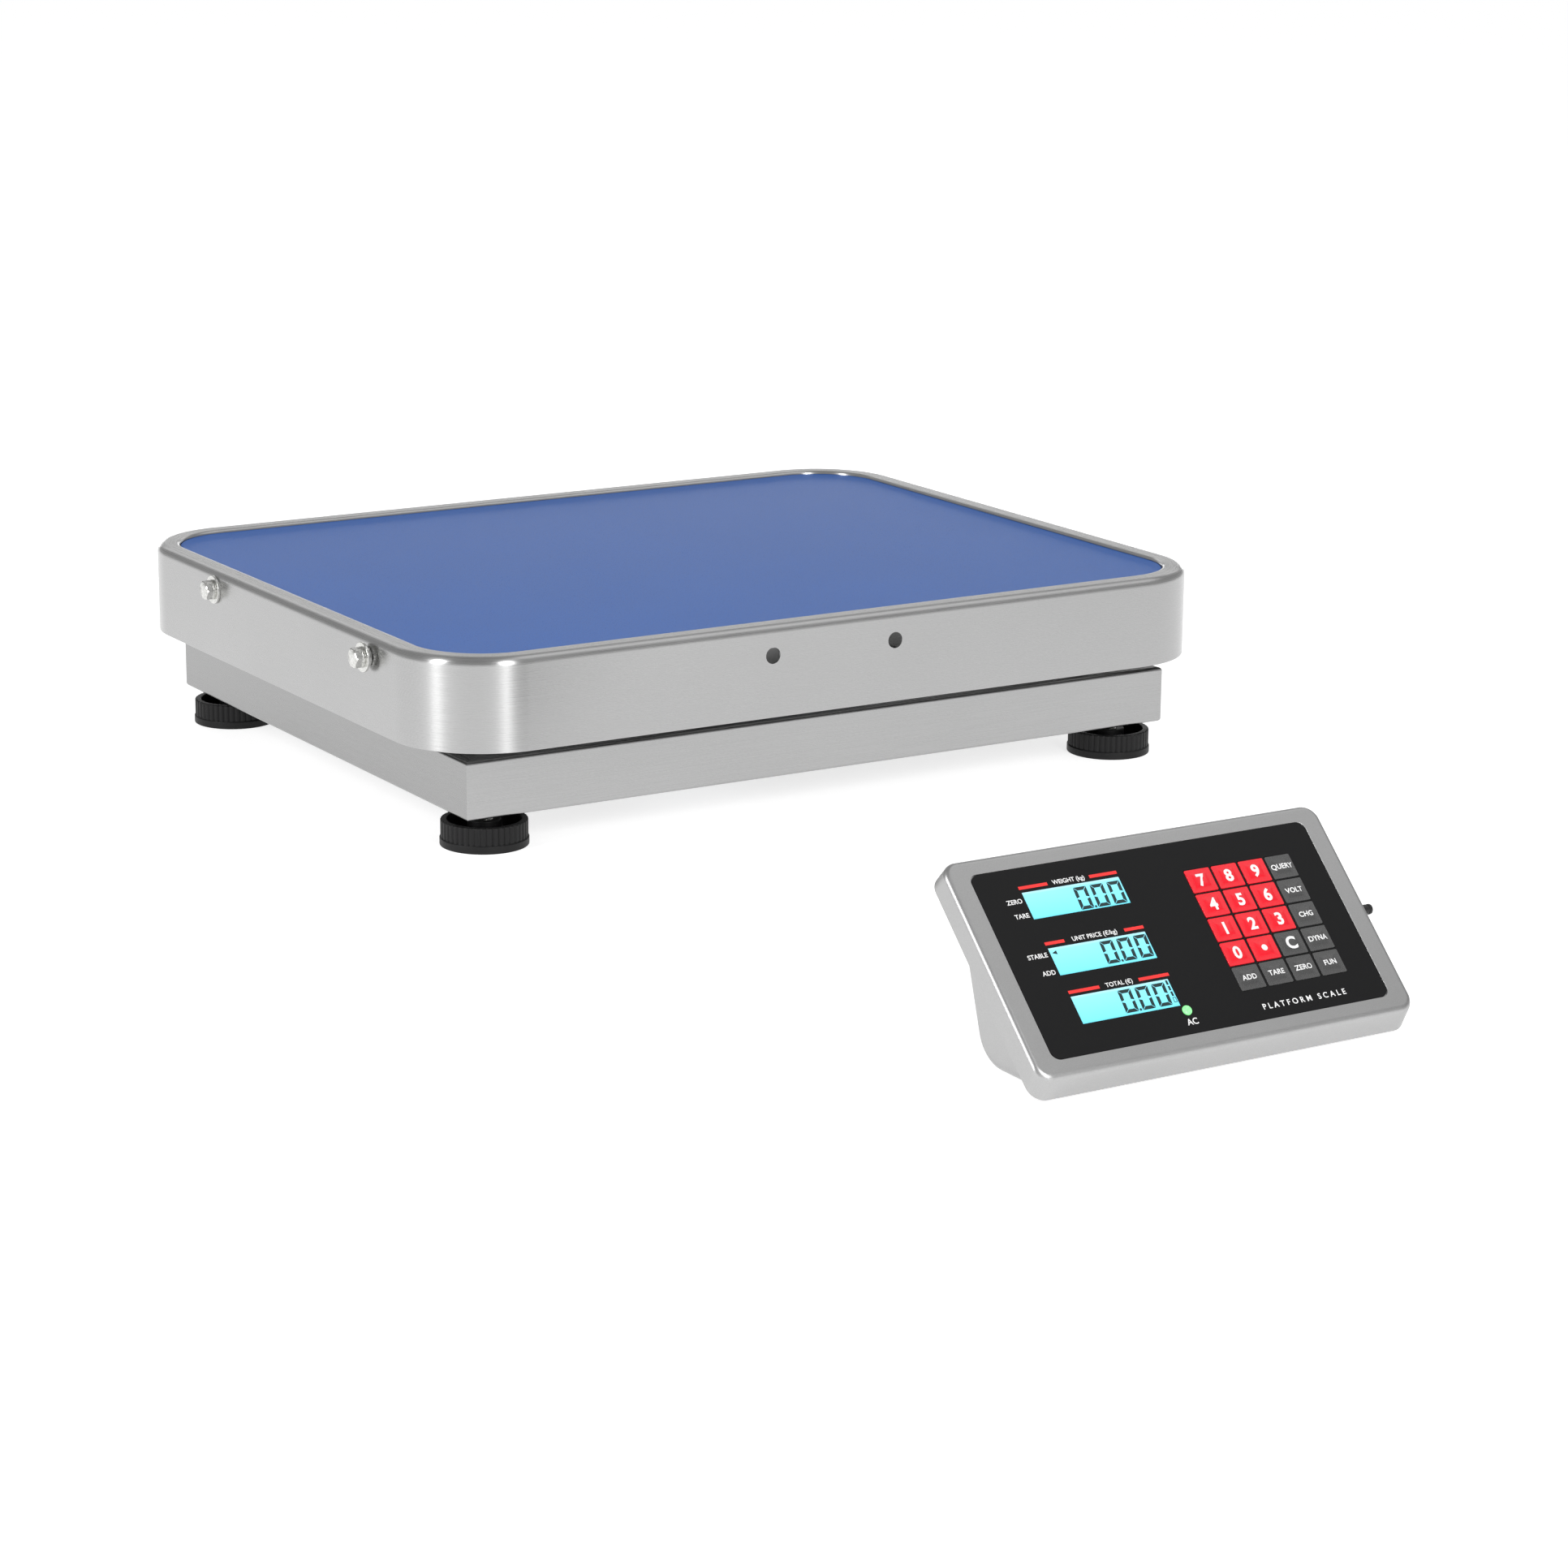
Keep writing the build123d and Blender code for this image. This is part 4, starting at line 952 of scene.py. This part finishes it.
KEY_SIZE = np.array((14.0, 12.0)) * MM
KEY_PROUD = 0.2 * MM
DOME_RADIUS = 5.4 * MM
DOME_HEIGHT = 0.35 * MM
DOME_RINGS = np.array((1.0, 0.99, 0.97, 0.93, 0.86, 0.75, 0.6, 0.42, 0.22, 0.06))    # in dome radii
LEGEND_LIFT = 0.03 * MM
DOT_ANGLES = np.linspace(0, 2 * pi, 32, endpoint=False)
KEY_LEGENDS = {
    "7": "7", "8": "8", "9": "9", "query": "QUERY", "4": "4", "5": "5", "6": "6", "volt": "VOLT",
    "1": "1", "2": "2", "3": "3", "change": "CHG", "0": "0", "point": "•", "clear": "C", "dynamic": "DYNA",
    "add": "ADD", "tare": "TARE", "zero": "ZERO", "function": "FUN",
}


def dome_lift(distance):
    """Height of a key's crown at a distance from its middle: a shallow bowl turned over."""
    return KEY_PROUD + DOME_HEIGHT * np.clip(1 - (distance / DOME_RADIUS) ** 3, 0, 1)


def key_skin():
    """A square key: rings run up its wall and over its edge, turn from the square to a circle and climb the
    dome."""
    back = -OVERLAY_SUNK - OVERLAY_THICKNESS - 0.2 * MM
    section = rounded_path(((4 * MM, back), (0, back), (0, KEY_PROUD), (0.6 * MM, KEY_PROUD)),
                           (0.1 * MM, 0.15 * MM), steps=4)
    square = rim_rings(*KEY_SIZE, 0.6 * MM, np.minimum(section, (0.55 * MM, 1)), 12)
    angle = np.arctan2(square[-1, :, 1], square[-1, :, 0])
    radius = DOME_RADIUS * DOME_RINGS[:, None]
    rounds = np.broadcast_arrays(radius * np.cos(angle), radius * np.sin(angle), dome_lift(radius))
    circle = np.stack(rounds, axis=-1)
    return lofted(np.concatenate((square, circle)))


def key_legend(name):
    """The key's figure, sign or word, laid on its dome."""
    text = KEY_LEGENDS[name]
    if text == "•":
        outline = 1.55 * MM * np.column_stack((np.cos(DOT_ANGLES), np.sin(DOT_ANGLES)))
        skin = slabs(outline[None], 0, LETTER_THICKNESS)
    elif len(text) == 1:
        skin = lettering(text, 5.8 * MM, 0.28 * MM)
    else:
        skin = lettering(text, 2.5 * MM, 0.07 * MM, spacing=1.02)
    lift = dome_lift(np.hypot(*skin.points[:, :2].T)) + LEGEND_LIFT
    return skin._replace(points=skin.points + lift[:, None] * UP)


class SCALE_OT_keys(bpy.types.Operator):
    """Build the twenty keys with their domes and legends"""
    bl_idname = "scale.keys"
    bl_label = "Keys"

    def execute(self, context):
        s = context.scene.scale_indicator
        red = finish("red key film", tones_of(s.red, 0.07), 0.35 * MM, roughness=(0.18, 0.26), clouds=0.06,
                     cloud_size=0.02)
        grey = finish("grey key film", tones_of(s.grey, 0.12), 0.35 * MM, roughness=(0.2, 0.3), clouds=0.1,
                      cloud_size=0.02)
        white = white_ink(s.white)
        for name in KEY_LEGENDS:
            key = f"key_{name}"
            skin = on_face(joined((key_skin(), in_finish(key_legend(name), 1))), face_place(key))
            film, slot = (red, "key_red") if name.isdigit() or name == "point" else (grey, "key_grey")
            piece(f"key_cap_{name}", key, skin, [film, white], (key,))
        return {"FINISHED"}


class SCALE_OT_power_button(bpy.types.Operator):
    """Build the power button on the right of the bezel"""
    bl_idname = "scale.power_button"
    bl_label = "Power button"

    def execute(self, context):
        low, high = box("power_button")
        radius, length = (high - low)[1] / 2, (high - low)[0]
        waist = radius - 0.3 * MM
        section = rounded_path(((1 * MM, 0), (radius, 0), (radius, length - 3 * MM), (waist, length - 2.7 * MM),
                                (waist, length - 2.2 * MM), (radius, length - 1.9 * MM), (radius, length),
                                (0.3 * MM, length - 0.15 * MM)),
                               np.array((0.3, 0.1, 0.1, 0.1, 0.1, 0.9)) * MM, steps=6)
        origin = np.array((low[0], *middle_of("power_button")[1:]))
        piece("power_knob", "power_button", placed(turned(*section.T, 48), origin, BACK, UP),
              [black_plastic()], ("power_button",))
        return {"FINISHED"}


class SCALE_OT_housing(bpy.types.Operator):
    """Finish the indicator's housing and what is inside it"""
    bl_idname = "scale.housing"
    bl_label = "Housing"

    def execute(self, context):
        dress(satin_stainless(context.scene.scale_indicator.steel), "rear_housing")
        dress(black_plastic(), "rear_sockets", "power_switch")
        dress(zinc_plate(), "housing_screws")
        dress(black_rubber(), "housing_feet")
        dress(finish("solder resist", (srgb(8, 84, 46), srgb(18, 118, 66)), 1.5 * MM, roughness=(0.3, 0.45)),
              "main_board")
        dress(finish("dome steel", ((0.6, 0.6, 0.6), (0.75, 0.75, 0.75)), 0.6 * MM, roughness=(0.2, 0.3),
                     metallic=1.0), "key_domes")
        dress(finish("battery wrap", (srgb(20, 44, 110), srgb(34, 64, 140)), 2 * MM, roughness=(0.2, 0.35)),
              "battery")
        return {"FINISHED"}


FLOOR_REACH = 30.0
# width of the soft edge of the painted shadow under the platform
FLOOR_SHADOW_EDGE = 40 * MM
FLOOR_PAINTED_SHADOW_FRONT = np.array((115, 140, 0)) * MM    # painted shadow on the floor: the glow is gone from this far inside the pan's left and front
FLOOR_PAINTED_SHADOW_BACK = np.array((30, 25, 0)) * MM       # and from this far inside its right and its back
# name, azimuth from +X and elevation in degrees, distance, width and height in metres, power in watts
STAGE_LIGHTS = (
    ("left softbox", 190, 24, 2.4, (0.4, 1.4), 26.0),
    ("front softbox", 266, 24, 2.6, (0.45, 1.4), 28.0),
    ("back softbox", 60, 5, 2.4, (2.6, 0.25), 6.0),
    ("rim softbox", 60, 28, 3.0, (3.2, 0.9), 6.5),
    ("face softbox", 336, 58, 2.4, (1.5, 1.5), 5.5),
)


def glowing_floor(colour, glow):
    """A pale floor with an even glow, which fades out under the platform into a painted shadow."""
    pale = finish("pale floor", tones_of(colour, 0.01), 2 * MM, roughness=(0.7, 0.8), clouds=0.0)
    material = lit(pale, (1, 1, 1), glow)
    tree = material.node_tree
    offset = shader_node(tree, "TexCoord").outputs["Object"]
    low, high = PAN_LOW + FLOOR_PAINTED_SHADOW_FRONT, PAN_HIGH - FLOOR_PAINTED_SHADOW_BACK
    middle, half = (low + high) / 2, (high - low) / 2
    for operation, value in (("SUBTRACT", (*middle[:2], 0)), ("ABSOLUTE", (0, 0, 0)),
                             ("SUBTRACT", (*half[:2], 0)), ("MAXIMUM", (0, 0, 0))):
        step = shader_node(tree, "VectorMath", {1: value}, {0: offset}, operation=operation)
        offset = step.outputs["Vector"]
    length = shader_node(tree, "VectorMath", sources={0: offset}, operation="LENGTH").outputs["Value"]
    # the glow falls to nothing under the platform: a painted shadow on the floor
    glow_with_painted_shadow = ranged(tree, length, 0.0, FLOOR_SHADOW_EDGE, 0.0, glow)
    tree.links.new(glow_with_painted_shadow, shader_of(material).inputs["Emission Strength"])
    return material


class SCALE_OT_stage(bpy.types.Operator):
    """Build the floor, the soft lights and the camera"""
    bl_idname = "scale.stage"
    bl_label = "Stage"

    def execute(self, context):
        scene = context.scene
        s = scene.scale_stage
        scene.view_settings.view_transform = "Standard"
        world = bpy.data.worlds.new("studio")
        world.use_nodes = True
        backdrop = world.node_tree.nodes["Background"]
        backdrop.inputs["Color"].default_value = (1, 1, 1, 1)
        backdrop.inputs["Strength"].default_value = s.world
        scene.world = world
        centre = Vector(PAN_FOOT)
        mesh = bpy.data.meshes.new("floor")
        corners = [(x * FLOOR_REACH, y * FLOOR_REACH, 0) for x, y in ((-1, -1), (1, -1), (1, 1), (-1, 1))]
        mesh.from_pydata(corners, [], [(0, 1, 2, 3)])
        floor = linked("floor", mesh)
        mesh.materials.append(glowing_floor(s.floor, s.glow))
        for name, azimuth, elevation, distance, size, power in STAGE_LIGHTS:
            lamp = bpy.data.lights.new(name, "AREA")
            lamp.shape = "RECTANGLE"
            lamp.size, lamp.size_y = size
            lamp.energy = power
            holder = linked(name, lamp)
            a, e = radians(azimuth), radians(elevation)
            away = Vector((cos(a) * cos(e), sin(a) * cos(e), sin(e)))
            holder.location = centre + away * distance
            holder.rotation_mode = "QUATERNION"
            holder.rotation_quaternion = away.to_track_quat("Z", "Y")
            holder.visible_camera = False
        lens = bpy.data.cameras.new("camera")
        lens.sensor_width = 36.0
        lens.lens = s.lens
        lens.clip_start, lens.clip_end = 0.1, 100.0
        camera = linked("camera", lens)
        ahead = np.array((-sin(s.yaw) * cos(s.pitch), cos(s.yaw) * cos(s.pitch), -sin(s.pitch)))
        level = np.array((cos(s.yaw), sin(s.yaw), 0.0))
        rise = np.cross(level, ahead)
        across = cos(s.roll) * level + sin(s.roll) * rise
        rise = -sin(s.roll) * level + cos(s.roll) * rise
        turn = Matrix(np.column_stack((across, rise, -ahead)).tolist()).to_4x4()
        camera.matrix_world = Matrix.Translation(centre + Vector(s.camera)) @ turn
        scene.camera = camera
        return {"FINISHED"}


OPERATORS = (SCALE_OT_pan, SCALE_OT_mat, SCALE_OT_side_fasteners, SCALE_OT_frame, SCALE_OT_feet,
             SCALE_OT_bezel, SCALE_OT_overlay, SCALE_OT_displays, SCALE_OT_lamp, SCALE_OT_keys,
             SCALE_OT_power_button, SCALE_OT_housing, SCALE_OT_stage)


class SCALE_PT_pieces(bpy.types.Panel):
    """Lists the scale's pieces and its stage"""
    bl_idname = "SCALE_PT_pieces"
    bl_label = "Pallet scale"
    bl_space_type = "VIEW_3D"
    bl_region_type = "UI"
    bl_category = "Scale"

    def draw(self, context):
        for name, settings in SETTINGS.items():
            group = getattr(context.scene, name)
            column = self.layout.column(align=True)
            for key in settings.__annotations__:
                column.prop(group, key)
        for operator in OPERATORS:
            self.layout.operator(operator.bl_idname)


def register():
    for cls in (*SETTINGS.values(), *OPERATORS, SCALE_PT_pieces):
        bpy.utils.register_class(cls)
    for name, settings in SETTINGS.items():
        setattr(bpy.types.Scene, name, PointerProperty(type=settings))


def unregister():
    for name in SETTINGS:
        delattr(bpy.types.Scene, name)
    for cls in reversed((*SETTINGS.values(), *OPERATORS, SCALE_PT_pieces)):
        bpy.utils.unregister_class(cls)


def main():
    register()
    for operator in OPERATORS:
        category, name = operator.bl_idname.split(".")
        getattr(getattr(bpy.ops, category), name)()


if __name__ == "__main__":
    main()
